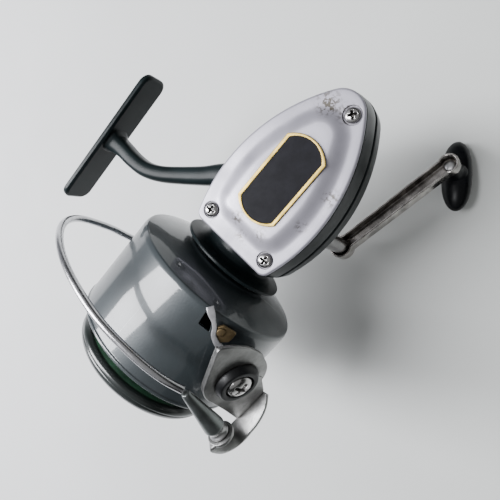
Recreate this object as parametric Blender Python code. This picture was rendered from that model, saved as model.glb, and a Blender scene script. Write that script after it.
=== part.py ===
"""Open-face spinning reel, modelled as the separate pieces it comes apart into.

The part frame has its origin at the centre of the foot's flat seat. X runs forward along the rotor
axis towards the spool, Y runs from the foot towards the reel body, and Z is the normal of the side
plate, so the reel lies on its crank side with the plate facing up. All lengths below are
millimetres; the meshes are written in metres through MM.
"""
import math

import bmesh
import bpy
from mathutils import Matrix, Vector

MM = 0.001

# Driving dimensions ------------------------------------------------------------------------------
SEAT_TO_AXIS = 76.0          # foot seat to rotor axis
FOOT_AHEAD = 7.0             # foot centre ahead of the gearcase's front edge
FOOT_LENGTH = 64.0
FOOT_WIDTH = 16.0
FOOT_THICK = 2.7

CASE_TOP = 16.2              # rim that carries the side plate
CASE_BOTTOM = -19.0
CASE_WALL = 1.9
PLATE_GAP = 0.3
PLATE_THICK = 1.7
DOME_RISE = 2.5

NECK_RADIUS = 14.5
NECK_FLANGE_RADIUS = 22.0
NECK_FRONT = 7.3
NECK_BORE = 6.6

CRANK_TILT = math.radians(22.0)   # the crank axis leans away from the foot
CRANK_X = -17.8
CRANK_ARM_LENGTH = 61.1
CRANK_ARM_ANGLE = math.radians(10.6)
CRANK_ARM_LEVEL = 61.8       # rotor axis to the arm's open edge, clear of the open bail

SHAFT_RADIUS = 1.9
SLEEVE_RADIUS = 4.6
FIT = 0.3                    # clearance between touching pieces

ROTOR_ANGLE = math.radians(31.0)  # bail pivots stand at this angle from +Y
ROTOR_REAR = 15.0
ROTOR_FRONT = 55.0
ROTOR_RADIUS = 36.0
ROTOR_WALL = 1.8
BAIL_PIVOT_X = 33.0

SPOOL_RADIUS = 32.0
SPOOL_REAR = 44.0
SPOOL_FRONT = 69.0
ARBOR_RADIUS = 20.0

PINION_TEETH = 8
DRIVE_TEETH = 28
STROKE = 13.0                # spool shaft travel


# Scene and hierarchy -----------------------------------------------------------------------------
for old in list(bpy.data.objects):
    bpy.data.objects.remove(old, do_unlink=True)


def empty(name, location, x_turn=0.0, parent=None):
    """An axis that pieces hang from, turned about X."""
    obj = bpy.data.objects.new(name, None)
    bpy.context.collection.objects.link(obj)
    obj.location = Vector(location) * MM
    obj.rotation_euler = (x_turn, 0.0, 0.0)
    obj.parent = parent
    return obj


REEL = empty("reel_axis", (-FOOT_AHEAD, SEAT_TO_AXIS, 0.0))
CRANK = empty("crank_axis", (CRANK_X, 0.0, 0.0), CRANK_TILT, REEL)
SLIDE = empty("slider_axis", (CRANK_X - STROKE / 2.0, 0.0, 0.0), CRANK_TILT, REEL)
ROTOR = empty("rotor_axis", (0.0, 0.0, 0.0), ROTOR_ANGLE, REEL)
BAIL = empty("bail_axis", (BAIL_PIVOT_X, 0.0, 0.0), ROTOR_ANGLE, REEL)


def material(name, colour, roughness, metallic):
    """A Principled material with the part's own colour."""
    mat = bpy.data.materials.new(name)
    mat.use_nodes = True
    shader = mat.node_tree.nodes["Principled BSDF"]
    shader.inputs["Base Color"].default_value = (*colour, 1.0)
    shader.inputs["Roughness"].default_value = roughness
    shader.inputs["Metallic"].default_value = metallic
    return mat


PAINT_DARK = ("black_enamel", (0.035, 0.045, 0.045), 0.30, 0.2)
PAINT_SILVER = ("silver_enamel", (0.66, 0.65, 0.67), 0.35, 0.3)
PAINT_GUNMETAL = ("gunmetal_enamel", (0.16, 0.19, 0.19), 0.25, 0.5)
CHROME = ("chrome", (0.75, 0.75, 0.74), 0.18, 1.0)
STEEL = ("steel", (0.55, 0.55, 0.55), 0.30, 1.0)
BRASS = ("brass", (0.65, 0.48, 0.20), 0.32, 1.0)
BRONZE = ("bronze", (0.45, 0.30, 0.16), 0.40, 1.0)
ZINC = ("zinc", (0.50, 0.50, 0.51), 0.45, 0.9)
BADGE = ("badge", (0.17, 0.17, 0.21), 0.35, 0.4)
PLASTIC = ("black_plastic", (0.02, 0.022, 0.025), 0.30, 0.0)
SPOOL_PAINT = ("spool_enamel", (0.05, 0.07, 0.06), 0.35, 0.2)
LINE = ("nylon_line", (0.20, 0.48, 0.30), 0.40, 0.0)
FELT = ("felt", (0.30, 0.24, 0.18), 0.90, 0.0)


# Mesh helpers ------------------------------------------------------------------------------------
def finish(name, bm, finish_spec, parent, location=(0.0, 0.0, 0.0), smooth=40.0):
    """Turns a bmesh in millimetres into a named, parented object with its own material."""
    bmesh.ops.remove_doubles(bm, verts=bm.verts, dist=1e-5)
    bmesh.ops.recalc_face_normals(bm, faces=bm.faces)
    bmesh.ops.scale(bm, vec=(MM, MM, MM), verts=bm.verts)
    mesh = bpy.data.meshes.new(name)
    bm.to_mesh(mesh)
    bm.free()
    mesh.shade_smooth()
    mesh.set_sharp_from_angle(angle=math.radians(smooth))
    obj = bpy.data.objects.new(name, mesh)
    bpy.context.collection.objects.link(obj)
    obj.parent = parent
    obj.location = Vector(location) * MM
    if finish_spec:
        label, colour, roughness, metallic = finish_spec
        mesh.materials.append(material(f"{name}_{label}", colour, roughness, metallic))
    return obj


def cutter(obj):
    """Marks a shape that only cuts or adds to another."""
    obj.hide_render = True
    obj.display_type = "WIRE"
    return obj


def combine(target, tool, operation="DIFFERENCE"):
    """Adds a Boolean with the exact solver and turns the tool into a guide."""
    mod = target.modifiers.new(f"{operation.lower()}_{tool.name}", "BOOLEAN")
    mod.operation = operation
    mod.solver = "EXACT"
    mod.object = cutter(tool)
    return target


def skin(rings, looped=False):
    """Skins rings of equal length; the ends are capped, or joined when looped."""
    bm = bmesh.new()
    loops = [[bm.verts.new(point) for point in ring] for ring in rings]
    count = len(loops[0])
    pairs = list(zip(loops, loops[1:]))
    if looped:
        pairs.append((loops[-1], loops[0]))
    for low, high in pairs:
        for i in range(count):
            j = (i + 1) % count
            bm.faces.new((low[i], low[j], high[j], high[i]))
    if not looped:
        bm.faces.new(list(reversed(loops[0])))
        bm.faces.new(loops[-1])
    return bm


def turned(profile, segments=40, axis="X", looped=True):
    """Turns a profile of (position, radius) pairs about an axis with bmesh's spin."""
    bm = bmesh.new()
    place = {
        "X": lambda p, r: (p, r, 0.0),
        "Y": lambda p, r: (0.0, p, r),
        "Z": lambda p, r: (r, 0.0, p),
    }[axis]
    direction = {"X": (1.0, 0.0, 0.0), "Y": (0.0, 1.0, 0.0), "Z": (0.0, 0.0, 1.0)}[axis]
    verts = [bm.verts.new(place(p, r)) for p, r in profile]
    edges = [bm.edges.new(pair) for pair in zip(verts, verts[1:])]
    if looped:
        edges.append(bm.edges.new((verts[-1], verts[0])))
    bmesh.ops.spin(bm, geom=verts + edges, cent=(0.0, 0.0, 0.0), axis=direction, dvec=(0.0, 0.0, 0.0),
                   angle=math.tau, steps=segments, use_merge=True)
    bmesh.ops.remove_doubles(bm, verts=bm.verts, dist=1e-5)
    return bm


def turned_part(name, profile, spec, parent, segments=40, axis="X", looped=True,
                location=(0.0, 0.0, 0.0)):
    """A named turned piece."""
    return finish(name, turned(profile, segments, axis, looped), spec, parent, location)


def box_bm(size, centre=(0.0, 0.0, 0.0)):
    """A block of the given size."""
    bm = bmesh.new()
    bmesh.ops.create_cube(bm, size=1.0)
    bmesh.ops.scale(bm, vec=size, verts=bm.verts)
    bmesh.ops.translate(bm, vec=centre, verts=bm.verts)
    return bm


def prism(outline, low, high):
    """An outline in XY extruded in Z."""
    return skin([[(x, y, low) for x, y in outline], [(x, y, high) for x, y in outline]])


def arc(centre, radius, start, end, steps):
    """Points on an arc, both ends included, angles in radians."""
    return [
        (centre[0] + radius * math.cos(start + (end - start) * i / steps),
         centre[1] + radius * math.sin(start + (end - start) * i / steps))
        for i in range(steps + 1)
    ]


def teardrop(front, corner, half_width, side_radius, widest, nose, offset=0.0):
    """Gearcase outline: a straight front edge, rounded corners, bowed sides and a round nose."""
    drop = side_radius - half_width
    reach = nose - widest
    nose_radius = (side_radius ** 2 - drop ** 2 - reach ** 2) / (2.0 * (reach + side_radius))
    side_centre = (widest, -drop)
    corner_x = front - corner
    corner_y = -drop + math.sqrt((side_radius - corner) ** 2 - (corner_x - widest) ** 2)
    corner_turn = math.atan2(corner_y + drop, corner_x - widest)
    nose_centre = (nose + nose_radius, 0.0)
    nose_turn = math.atan2(drop, nose_centre[0] - widest)
    half = arc((corner_x, corner_y), corner + offset, 0.0, corner_turn, 3)
    half += arc(side_centre, side_radius + offset, corner_turn, nose_turn, 7)[1:]
    half += arc(nose_centre, nose_radius + offset, nose_turn, math.pi, 4)[1:]
    mirrored = [(x, -y) for x, y in reversed(half[:-1])]
    return half + mirrored


def case_outline(offset=0.0):
    """Outline shared by the gearcase rim and the side plate."""
    return teardrop(0.0, 3.5, 21.1, 67.0, -23.3, -68.0, offset)


def dome_outline(offset=0.0):
    """Outline of the side plate's raised dome."""
    return teardrop(-6.2, 8.5, 16.6, 62.0, -24.0, -59.5, offset)


def at_height(outline, z):
    """An XY outline as a ring at one height."""
    return [(x, y, z) for x, y in outline]


def pan_screw(name, head_radius, shank_radius, shank_length, parent, place, spec=CHROME):
    """A pan-head screw with a crossed recess; its axis is local Z and its head's seat is at z = 0."""
    height = head_radius * 0.52
    profile = [(-shank_length, 0.0), (-shank_length, shank_radius * 0.7),
               (-shank_length + shank_radius * 0.5, shank_radius), (0.0, shank_radius),
               (0.0, head_radius), (height * 0.45, head_radius * 0.97),
               (height * 0.8, head_radius * 0.72), (height, head_radius * 0.3), (height, 0.0)]
    screw = turned_part(name, profile, spec, parent, 16, "Z", False)
    screw.matrix_local = place
    cross = finish(f"{name}_recess", box_bm((head_radius * 1.25, head_radius * 0.28, height * 1.1),
                                            (0.0, 0.0, height * 1.05)), None, parent)
    cross.matrix_local = place
    second = finish(f"{name}_recess_b", box_bm((head_radius * 0.28, head_radius * 1.25, height * 1.1),
                                               (0.0, 0.0, height * 1.05)), None, parent)
    second.matrix_local = place
    combine(screw, cross)
    combine(screw, second)
    return screw


def standing(x, y, z):
    """A placement with the local axes kept."""
    return Matrix.Translation(Vector((x, y, z)) * MM)


# Gearcase, neck, stem and foot -------------------------------------------------------------------
PLATE_SCREWS = {"rear": (-61.6, 3.6), "upper": (-5.4, -13.6), "lower": (-5.4, 13.6)}
POST_RADIUS = 4.3
POST_HOLE = 1.6


def stem_section(centre, along, width, depth, steps=16):
    """A rounded section across the stem's path, in the plane normal to the path."""
    side = Vector((-along.y, along.x, 0.0)).normalized()
    ring = []
    for i in range(steps):
        turn = math.tau * i / steps
        c, s = math.cos(turn), math.sin(turn)
        u = math.copysign(abs(c) ** 0.75, c) * width / 2.0
        v = math.copysign(abs(s) ** 0.75, s) * depth / 2.0
        ring.append(tuple(centre + side * u + Vector((0.0, 0.0, v))))
    return ring


def make_stem():
    """The bent stem from the gearcase wall to the foot."""
    seat = -SEAT_TO_AXIS + FOOT_THICK
    stations = [  # x, y, width in the plane of the bend, depth across it
        (-19.0, -17.5, 13.0, 15.0), (-15.0, -24.0, 10.0, 12.5), (-9.0, -31.0, 8.4, 10.5),
        (-2.5, -39.0, 7.8, 9.8), (3.0, -46.5, 7.6, 9.4), (6.2, -53.5, 7.4, 9.2),
        (7.0, -60.5, 7.2, 9.2), (6.8, -66.5, 7.4, 9.6), (FOOT_AHEAD, seat + 3.0, 10.0, 11.0),
        (FOOT_AHEAD, seat + 1.0, 15.0, 13.0), (FOOT_AHEAD, seat - 1.2, 18.0, 13.6),
    ]
    points = [Vector((x, y, 0.0)) for x, y, _, _ in stations]
    rings = []
    for i, (_, _, width, depth) in enumerate(stations):
        before = points[max(i - 1, 0)]
        after = points[min(i + 1, len(points) - 1)]
        rings.append(stem_section(points[i], (after - before).normalized(), width, depth))
    return finish("stem_form", skin(rings), None, REEL)


def make_foot():
    """The flat foot: a slim bar with round ends, thinner towards its tips."""
    half = FOOT_LENGTH / 2.0
    round_end = 4.6
    side = FOOT_WIDTH / 2.0

    def outline(inset):
        radius = round_end - inset
        across = side - round_end
        along = half - round_end
        points = []
        for sx, sz, start in ((1, 1, 0.0), (-1, 1, 90.0), (-1, -1, 180.0), (1, -1, 270.0)):
            turn = math.radians(start)
            points += arc((sx * along, sz * across), radius, turn, turn + math.pi / 2.0, 4)
        return points

    seat = -SEAT_TO_AXIS
    levels = [(seat, 0.5), (seat + 0.5, 0.0), (seat + FOOT_THICK - 0.8, 0.0), (seat + FOOT_THICK, 0.9)]
    rings = []
    for y, inset in levels:
        rings.append([(FOOT_AHEAD + px, y, pz) for px, pz in outline(inset)])
    return finish("foot_form", skin(rings), None, REEL)


GUIDE_Y = 7.2                # slider's guide rod, in the crank frame
GUIDE_REAR = -37.5
GUIDE_FRONT = -1.4


def guide_line():
    """Height of the guide rod's axis in the reel frame."""
    return GUIDE_Y * math.cos(CRANK_TILT), GUIDE_Y * math.sin(CRANK_TILT)


def make_gearcase():
    """One casting: hollow case, neck and its flange, crank boss, stem and foot."""
    outer = [(CASE_BOTTOM, -5.0), (CASE_BOTTOM + 0.8, -1.6), (-15.5, 1.8), (-10.0, 2.7), (1.6, 2.2),
             (2.3, 1.3), (3.7, 1.2), (4.4, 1.8), (11.0, 1.0), (CASE_TOP, 0.2)]
    floor = CASE_BOTTOM + CASE_WALL
    inner = [(floor, -3.0), (-15.0, -0.8), (-10.0, 0.3), (3.0, -0.9), (CASE_TOP + 2.0, -CASE_WALL)]
    case = finish("gear_housing", skin([at_height(case_outline(off), z) for z, off in outer]),
                  PAINT_DARK, REEL)

    flare = NECK_FLANGE_RADIUS - NECK_RADIUS
    neck = [(-0.8, 0.0), (-0.8, NECK_RADIUS), (3.2, NECK_RADIUS)]
    neck += [(3.2 + 2.9 * math.sin(t), NECK_RADIUS + flare * (1.0 - math.cos(t)))
             for t in (math.radians(30.0), math.radians(60.0), math.radians(90.0))]
    neck += [(NECK_FRONT, NECK_FLANGE_RADIUS), (NECK_FRONT, 0.0)]
    combine(case, turned_part("neck_form", neck, None, REEL, 40, looped=False), "UNION")
    boss = [(-16.0, 0.0), (-16.0, 9.6), (-19.0, 9.0), (-24.0, 7.6), (-31.0, 7.2), (-31.6, 6.6),
            (-31.6, 0.0)]
    combine(case, turned_part("crank_boss_form", boss, None, CRANK, 28, "Z", False), "UNION")
    combine(case, make_stem(), "UNION")
    combine(case, make_foot(), "UNION")
    room = finish("case_room", skin([at_height(case_outline(off), z) for z, off in inner]), None, REEL)
    combine(case, room)

    inner_boss = [(-13.4, 0.0), (-13.4, 7.6), (-20.0, 7.6), (-20.0, 0.0)]
    combine(case, turned_part("inner_boss_form", inner_boss, None, CRANK, 24, "Z", False), "UNION")
    for key, (x, y) in PLATE_SCREWS.items():
        low = floor - 0.6 if key == "rear" else 2.6
        post = turned_part(f"post_{key}", [(low, 0.0), (low, POST_RADIUS), (CASE_TOP - 0.1, POST_RADIUS),
                                           (CASE_TOP - 0.1, 0.0)], None, REEL, 16, "Z", False, (x, y, 0.0))
        combine(case, post, "UNION")

    combine(case, turned_part("neck_bore", [(-7.0, 0.0), (-7.0, NECK_BORE), (9.0, NECK_BORE),
                                            (9.0, 0.0)], None, REEL, 32, looped=False))
    crank_bore = [(-11.5, 0.0), (-11.5, CRANK_BORE), (-33.0, CRANK_BORE), (-33.0, 0.0)]
    combine(case, turned_part("crank_bore", crank_bore, None, CRANK, 28, "Z", False))
    for key, (x, y) in PLATE_SCREWS.items():
        hole = turned_part(f"post_hole_{key}", [(5.0, 0.0), (5.0, POST_HOLE), (18.0, POST_HOLE),
                                                (18.0, 0.0)], None, REEL, 12, "Z", False, (x, y, 0.0))
        combine(case, hole)
    bracket = turned_part("guide_bracket_form", [(floor - 0.6, 0.0), (floor - 0.6, 2.8), (6.6, 2.8),
                                                 (6.6, 0.0)], None, REEL, 16, "Z", False,
                          (GUIDE_REAR + 1.4, GUIDE_Y * math.cos(CRANK_TILT), 0.0))
    combine(case, bracket, "UNION")
    guide_hole = turned_part("guide_hole", [(-4.0, 0.0), (-4.0, 1.4), (4.0, 1.4), (4.0, 0.0)], None, REEL,
                             12, looped=False, location=(GUIDE_REAR + 1.4, *guide_line()))
    combine(case, guide_hole)
    lever_hole = turned_part("lever_hole", [(-25.0, 0.0), (-25.0, 2.1), (-14.0, 2.1), (-14.0, 0.0)],
                             None, REEL, 16, "Z", False, (LEVER_X, LEVER_Y, 0.0))
    combine(case, lever_hole)
    return case


LEVER_X = -48.0
LEVER_Y = -3.0


# Side plate, badge and screws --------------------------------------------------------------------
PLATE_LOW = CASE_TOP + PLATE_GAP
PLATE_TOP = PLATE_LOW + PLATE_THICK
DOME_TOP = PLATE_TOP + DOME_RISE


def make_side_plate():
    """Stamped cover: a flat flange with a raised dome, hollow behind the dome."""
    rings = [
        at_height(case_outline(-3.2), PLATE_LOW),
        at_height(case_outline(0.0), PLATE_LOW),
        at_height(case_outline(0.1), PLATE_TOP - 0.6),
        at_height(case_outline(-0.45), PLATE_TOP),
    ]
    flange = finish("side_plate", skin(rings[1:]), PAINT_SILVER, REEL)
    dome_rings = [(PLATE_TOP - 0.5, 0.0), (PLATE_TOP + 0.2, -0.4), (PLATE_TOP + 1.2, -1.1),
                  (PLATE_TOP + 2.1, -2.2), (DOME_TOP, -3.6)]
    dome = finish("dome_form", skin([at_height(dome_outline(o), z) for z, o in dome_rings]), None, REEL)
    combine(flange, dome, "UNION")
    hollow_rings = [(PLATE_LOW - 1.0, -1.8), (PLATE_LOW + 0.6, -1.9), (PLATE_LOW + 2.4, -4.4)]
    hollow = finish("dome_hollow", skin([at_height(dome_outline(o), z) for z, o in hollow_rings]),
                    None, REEL)
    combine(flange, hollow)
    for key, (x, y) in PLATE_SCREWS.items():
        hole = turned_part(f"plate_hole_{key}", [(PLATE_LOW - 1.0, 0.0), (PLATE_LOW - 1.0, 1.7),
                                                 (PLATE_TOP - 0.5, 1.7), (PLATE_TOP - 0.5, 3.2),
                                                 (DOME_TOP + 1.0, 3.4), (DOME_TOP + 1.0, 0.0)],
                           None, REEL, 24, "Z", False, (x, y, 0.0))
        combine(flange, hole)
    return flange


BADGE_CENTRE_X = -30.4
BADGE_HALF_LENGTH = 13.3
BADGE_HALF_WIDTH = 8.7
BADGE_BOW = 4.0


def make_badge():
    """A plain badge with bowed ends and a raised border."""
    def outline(inset):
        half = BADGE_HALF_WIDTH - inset
        bow = BADGE_BOW - inset * 0.2
        radius = (half ** 2 + bow ** 2) / (2.0 * bow)
        reach = BADGE_HALF_LENGTH - inset * 0.4
        turn = math.asin(half / radius)
        front = arc((BADGE_CENTRE_X + reach + bow - radius, 0.0), radius, -turn, turn, 8)
        rear = [(2.0 * BADGE_CENTRE_X - x, -y) for x, y in front]
        return front + rear

    low = DOME_TOP + FIT
    rings = [at_height(outline(0.0), low), at_height(outline(0.0), low + 0.55),
             at_height(outline(0.25), low + 0.7), at_height(outline(1.2), low + 0.7),
             at_height(outline(1.4), low + 0.45)]
    return finish("name_badge", skin(rings), BADGE, REEL)


def make_plate_screws():
    """Three screws that hold the side plate on the case's posts."""
    for key, (x, y) in PLATE_SCREWS.items():
        pan_screw(f"plate_screw_{key}", 2.7, 1.25, 9.0, REEL, standing(x, y, PLATE_TOP - 0.2))


# Crank drive -------------------------------------------------------------------------------------
GEAR_ROOT = -5.25            # drive gear's tooth roots, in the crank frame
GEAR_TIP = -4.05
GEAR_BACK = -8.0
GEAR_INNER = 13.0
GEAR_OUTER = 15.2
CRANK_SHAFT_RADIUS = 2.8
CRANK_BORE = 4.6
ARM_FLOOR = -(CRANK_ARM_LEVEL + 5.4)
SHAFT_END = ARM_FLOOR + 8.9


def toothed_ring(teeth, root, tip, z, root_share, tip_share, phase=0.0):
    """A ring of straight-sided teeth; shares are the tooth's width over the pitch."""
    ring = []
    pitch = math.tau / teeth
    for i in range(teeth):
        middle = phase + i * pitch
        for turn, radius in ((-root_share, root), (-tip_share, tip), (tip_share, tip),
                             (root_share, root)):
            angle = middle + turn * pitch / 2.0
            ring.append((radius * math.cos(angle), radius * math.sin(angle), z))
    return ring


def matched_circle(teeth, radius, z, root_share, tip_share, phase=0.0):
    """A circle with the same stations as a toothed ring."""
    return toothed_ring(teeth, radius, radius, z, root_share, tip_share, phase)


def make_drive_gear():
    """Face gear: radial teeth on the side of the pinion, and the eccentric stub for the slider."""
    def circle(radius, z):
        return matched_circle(DRIVE_TEETH, radius, z, 0.52, 0.24)

    def crown(radius):
        low = circle(radius, GEAR_ROOT)
        high = circle(radius, GEAR_TIP)
        return [high[i] if i % 4 in (1, 2) else low[i] for i in range(len(low))]

    bore = CRANK_SHAFT_RADIUS + FIT
    rings = [circle(bore, GEAR_BACK), circle(GEAR_OUTER, GEAR_BACK), crown(GEAR_OUTER),
             crown(GEAR_INNER), circle(bore, GEAR_ROOT)]
    gear = finish("drive_gear", skin(rings, looped=True), ZINC, CRANK)
    stub = turned_part("eccentric_stub_form", [(-6.4, 0.0), (-6.4, 1.6), (-4.1, 1.6), (-4.1, 0.0)], None,
                       CRANK, 16, "Z", False, (-STROKE / 2.0, 0.0, 0.0))
    combine(gear, stub, "UNION")
    return gear


def make_crank_shaft():
    """Shaft that carries the drive gear and the ratchet, and runs out through the boss."""
    radius = CRANK_SHAFT_RADIUS
    profile = [(-5.0, 0.0), (-5.0, radius), (SHAFT_END, radius), (SHAFT_END, 0.0)]
    return turned_part("crank_shaft", profile, STEEL, CRANK, 24, "Z", False)


RATCHET_LOW = -11.4


def make_ratchet():
    """Saw-toothed wheel for the anti-reverse pawl."""
    teeth = 12
    outline = []
    for i in range(teeth):
        start = math.tau * i / teeth
        for turn, radius in ((0.0, 5.6), (0.06, 7.4), (0.30, 6.6)):
            angle = start + turn * math.tau / teeth * 2.0
            outline.append((radius * math.cos(angle), radius * math.sin(angle)))
    hole = []
    for x, y in outline:
        length = math.hypot(x, y)
        hole.append(((CRANK_SHAFT_RADIUS + FIT) * x / length, (CRANK_SHAFT_RADIUS + FIT) * y / length))
    low, high = RATCHET_LOW, RATCHET_LOW + 1.6
    rings = [at_height(hole, low), at_height(outline, low), at_height(outline, high),
             at_height(hole, high)]
    return finish("anti_reverse_ratchet", skin(rings, looped=True), STEEL, CRANK)


def make_crank_bushing():
    """Bronze sleeve that the crank shaft runs in."""
    bore = CRANK_SHAFT_RADIUS + FIT
    outer = CRANK_BORE - FIT
    profile = [(-13.8, bore), (-13.8, outer), (-31.4, outer), (-31.4, bore)]
    return turned_part("crank_bushing", profile, BRONZE, CRANK, 24, "Z")


def make_crank_hub():
    """Chromed collar on the shaft's end, between the boss and the arm."""
    bore = CRANK_SHAFT_RADIUS + FIT
    seat, step = ARM_FLOOR + 1.7, SHAFT_END - 0.4
    profile = [(-32.1, bore), (-32.1, 5.4), (-32.8, 5.8), (-35.4, 5.8), (-36.2, 4.6), (step, 4.0),
               (seat, 4.0), (seat, 2.3), (step, 2.3), (step, bore)]
    return turned_part("crank_hub", profile, CHROME, CRANK, 28, "Z")


def arm_outline(wall, hub_radius, end_radius, half_width):
    """Outline of the arm in its own plane, from the hub at x = 0 to the knob end."""
    hub = hub_radius - wall
    end = end_radius - wall
    half = half_width - wall
    hub_turn = math.asin(half / hub)
    end_turn = math.asin(half / end)
    points = arc((0.0, 0.0), hub, hub_turn, math.tau - hub_turn, 14)
    points += arc((CRANK_ARM_LENGTH, 0.0), end, -math.pi + end_turn, math.pi - end_turn, 12)
    return points


ARM_PLACE = (Matrix.Rotation(math.pi - CRANK_ARM_ANGLE, 4, "Z"))


def make_crank_arm():
    """Trough-shaped arm, open towards the body, with round ends."""
    top = -CRANK_ARM_LEVEL
    floor = ARM_FLOOR + 1.3
    shape = (5.7, 4.7, 3.9)
    rings = [at_height(arm_outline(0.6, *shape), ARM_FLOOR),
             at_height(arm_outline(0.0, *shape), ARM_FLOOR + 0.8),
             at_height(arm_outline(0.0, *shape), top),
             at_height(arm_outline(1.1, *shape), top),
             at_height(arm_outline(1.2, *shape), floor)]
    arm = finish("crank_arm", skin(rings), CHROME, CRANK)
    arm.matrix_local = ARM_PLACE
    below, above = ARM_FLOOR - 4.6, ARM_FLOOR + 3.4
    knob_hole = turned_part("arm_knob_hole", [(below, 0.0), (below, 1.9), (above, 1.9), (above, 0.0)],
                            None, CRANK, 16, "Z", False)
    knob_hole.matrix_local = ARM_PLACE @ standing(CRANK_ARM_LENGTH, 0.0, 0.0)
    combine(arm, knob_hole)
    hub_hole = turned_part("arm_hub_hole", [(below, 0.0), (below, 2.1), (above, 2.1), (above, 0.0)],
                           None, CRANK, 16, "Z", False)
    hub_hole.matrix_local = ARM_PLACE.copy()
    combine(arm, hub_hole)
    return arm


def make_arm_screw():
    """Screw that clamps the arm on the hub."""
    turn_over = Matrix.Rotation(math.pi, 4, "X")
    return pan_screw("crank_arm_screw", 4.2, 1.7, 7.6, CRANK,
                     standing(0.0, 0.0, ARM_FLOOR - 0.3) @ turn_over)


KNOB_LEVEL = ARM_FLOOR - 12.2
PIN_END = KNOB_LEVEL - 4.8


def make_knob_pin():
    """Riveted pin that the knob turns on."""
    inner_head = ARM_FLOOR + 1.3 + FIT
    profile = [(inner_head + 1.0, 0.0), (inner_head + 0.7, 2.3), (inner_head, 2.7), (inner_head, 1.6),
               (PIN_END, 1.6), (PIN_END, 2.9), (PIN_END - 0.8, 2.5), (PIN_END - 1.0, 0.0)]
    pin = turned_part("knob_pin", profile, STEEL, CRANK, 20, "Z", False)
    pin.matrix_local = ARM_PLACE @ standing(CRANK_ARM_LENGTH, 0.0, 0.0)
    return pin


KNOB_TURN = math.radians(-127.0)
KNOB_HALF = 17.8


def make_knob():
    """Oval paddle knob across its pin, on a short neck."""
    steps = 12
    rings = []
    for i in range(1, steps):
        along = -math.cos(math.pi * i / steps)
        fullness = (1.0 - abs(along) ** 2.6) ** 0.5
        ring = []
        for k in range(16):
            turn = math.tau * k / 16
            ring.append((KNOB_HALF * along, 6.9 * fullness * math.cos(turn),
                         KNOB_LEVEL + 5.9 * fullness * math.sin(turn)))
        rings.append(ring)
    knob = finish("handle_knob", skin(rings), PLASTIC, CRANK)
    place = ARM_PLACE @ standing(CRANK_ARM_LENGTH, 0.0, 0.0) @ Matrix.Rotation(KNOB_TURN, 4, "Z")
    knob.matrix_local = place
    foot, top = ARM_FLOOR - 0.6, KNOB_LEVEL + 0.6
    neck = turned_part("knob_neck_form", [(foot, 0.0), (foot, 3.6), (foot - 2.5, 3.9), (foot - 7.0, 5.4),
                                          (top, 5.6), (top, 0.0)], None, CRANK, 20, "Z", False)
    neck.matrix_local = place
    combine(knob, neck, "UNION")
    well = PIN_END + 0.4
    bore = turned_part("knob_bore", [(foot + 6.0, 0.0), (foot + 6.0, 1.95), (well, 1.95), (well, 3.3),
                                     (well - 8.0, 3.3), (well - 8.0, 0.0)], None, CRANK, 16, "Z", False)
    bore.matrix_local = place
    combine(knob, bore)
    return knob


# Anti-reverse ------------------------------------------------------------------------------------
PAWL_X = -17.6
PAWL_Y = -5.2


def make_anti_reverse():
    """Thumb lever in the case floor, and the pawl that it lets down on the ratchet."""
    low = CASE_BOTTOM - FIT
    stalk = [(low - 2.2, 0.0), (low - 2.2, 3.4), (low, 3.4), (low, 1.8), (-13.4, 1.8), (-13.4, 0.0)]
    lever = turned_part("anti_reverse_lever", stalk, CHROME, REEL, 20, "Z", False,
                        (LEVER_X, LEVER_Y, 0.0))
    thumb = finish("lever_thumb_form", box_bm((11.0, 3.6, 1.8), (-6.0, 0.0, low - 1.2)), None, REEL,
                   (LEVER_X, LEVER_Y, 0.0))
    combine(lever, thumb, "UNION")
    outline = [(-1.9, -1.9), (1.9, -1.9), (2.2, 1.5), (9.6, 2.6), (9.8, 4.2), (1.0, 3.6), (-1.9, 2.0)]
    pawl = finish("anti_reverse_pawl", prism(outline, RATCHET_LOW, RATCHET_LOW + 1.5), STEEL, CRANK,
                  (PAWL_X, PAWL_Y, 0.0))
    hole = turned_part("pawl_hole", [(-14.0, 0.0), (-14.0, 1.05), (-9.0, 1.05), (-9.0, 0.0)], None,
                       CRANK, 12, "Z", False, (PAWL_X, PAWL_Y, 0.0))
    combine(pawl, hole)
    stud = [(-9.4, 0.0), (-9.4, 0.75), (-11.7, 0.75), (-11.7, 1.8), (-15.2, 1.8), (-15.2, 0.0)]
    turned_part("pawl_stud", stud, STEEL, CRANK, 12, "Z", False, (PAWL_X, PAWL_Y, 0.0))


# Rotor -------------------------------------------------------------------------------------------
def make_pinion():
    """Pinion with the long sleeve that carries the rotor."""
    shares = (0.52, 0.22)
    phase = CRANK_TILT - math.pi / 2.0 + math.pi / PINION_TEETH   # a gap faces the drive gear

    def toothed(x):
        return [(x, a, b) for a, b, _ in toothed_ring(PINION_TEETH, 3.5, 4.85, 0.0, *shares, phase)]

    def circle(radius, x):
        return [(x, a, b) for a, b, _ in matched_circle(PINION_TEETH, radius, 0.0, *shares, phase)]

    bore = SHAFT_RADIUS + FIT
    rings = [circle(bore, -6.6), toothed(-6.6), toothed(-2.2), circle(SLEEVE_RADIUS, -1.9),
             circle(SLEEVE_RADIUS, 23.0), circle(bore, 23.0)]
    return finish("pinion_gear", skin(rings, looped=True), BRASS, REEL)


def make_neck_bearing():
    """Plain ring bearing pressed in the neck."""
    profile = [(-0.8, SLEEVE_RADIUS + FIT), (-0.8, NECK_BORE - FIT), (6.6, NECK_BORE - FIT),
               (6.6, SLEEVE_RADIUS + FIT)]
    return turned_part("neck_bearing", profile, BRONZE, REEL, 32)


def rotor_radius(x):
    """Outer radius of the cup, which widens a little towards its rim."""
    return ROTOR_RADIUS + 0.3 * (x - ROTOR_REAR) / (ROTOR_FRONT - ROTOR_REAR)


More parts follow.
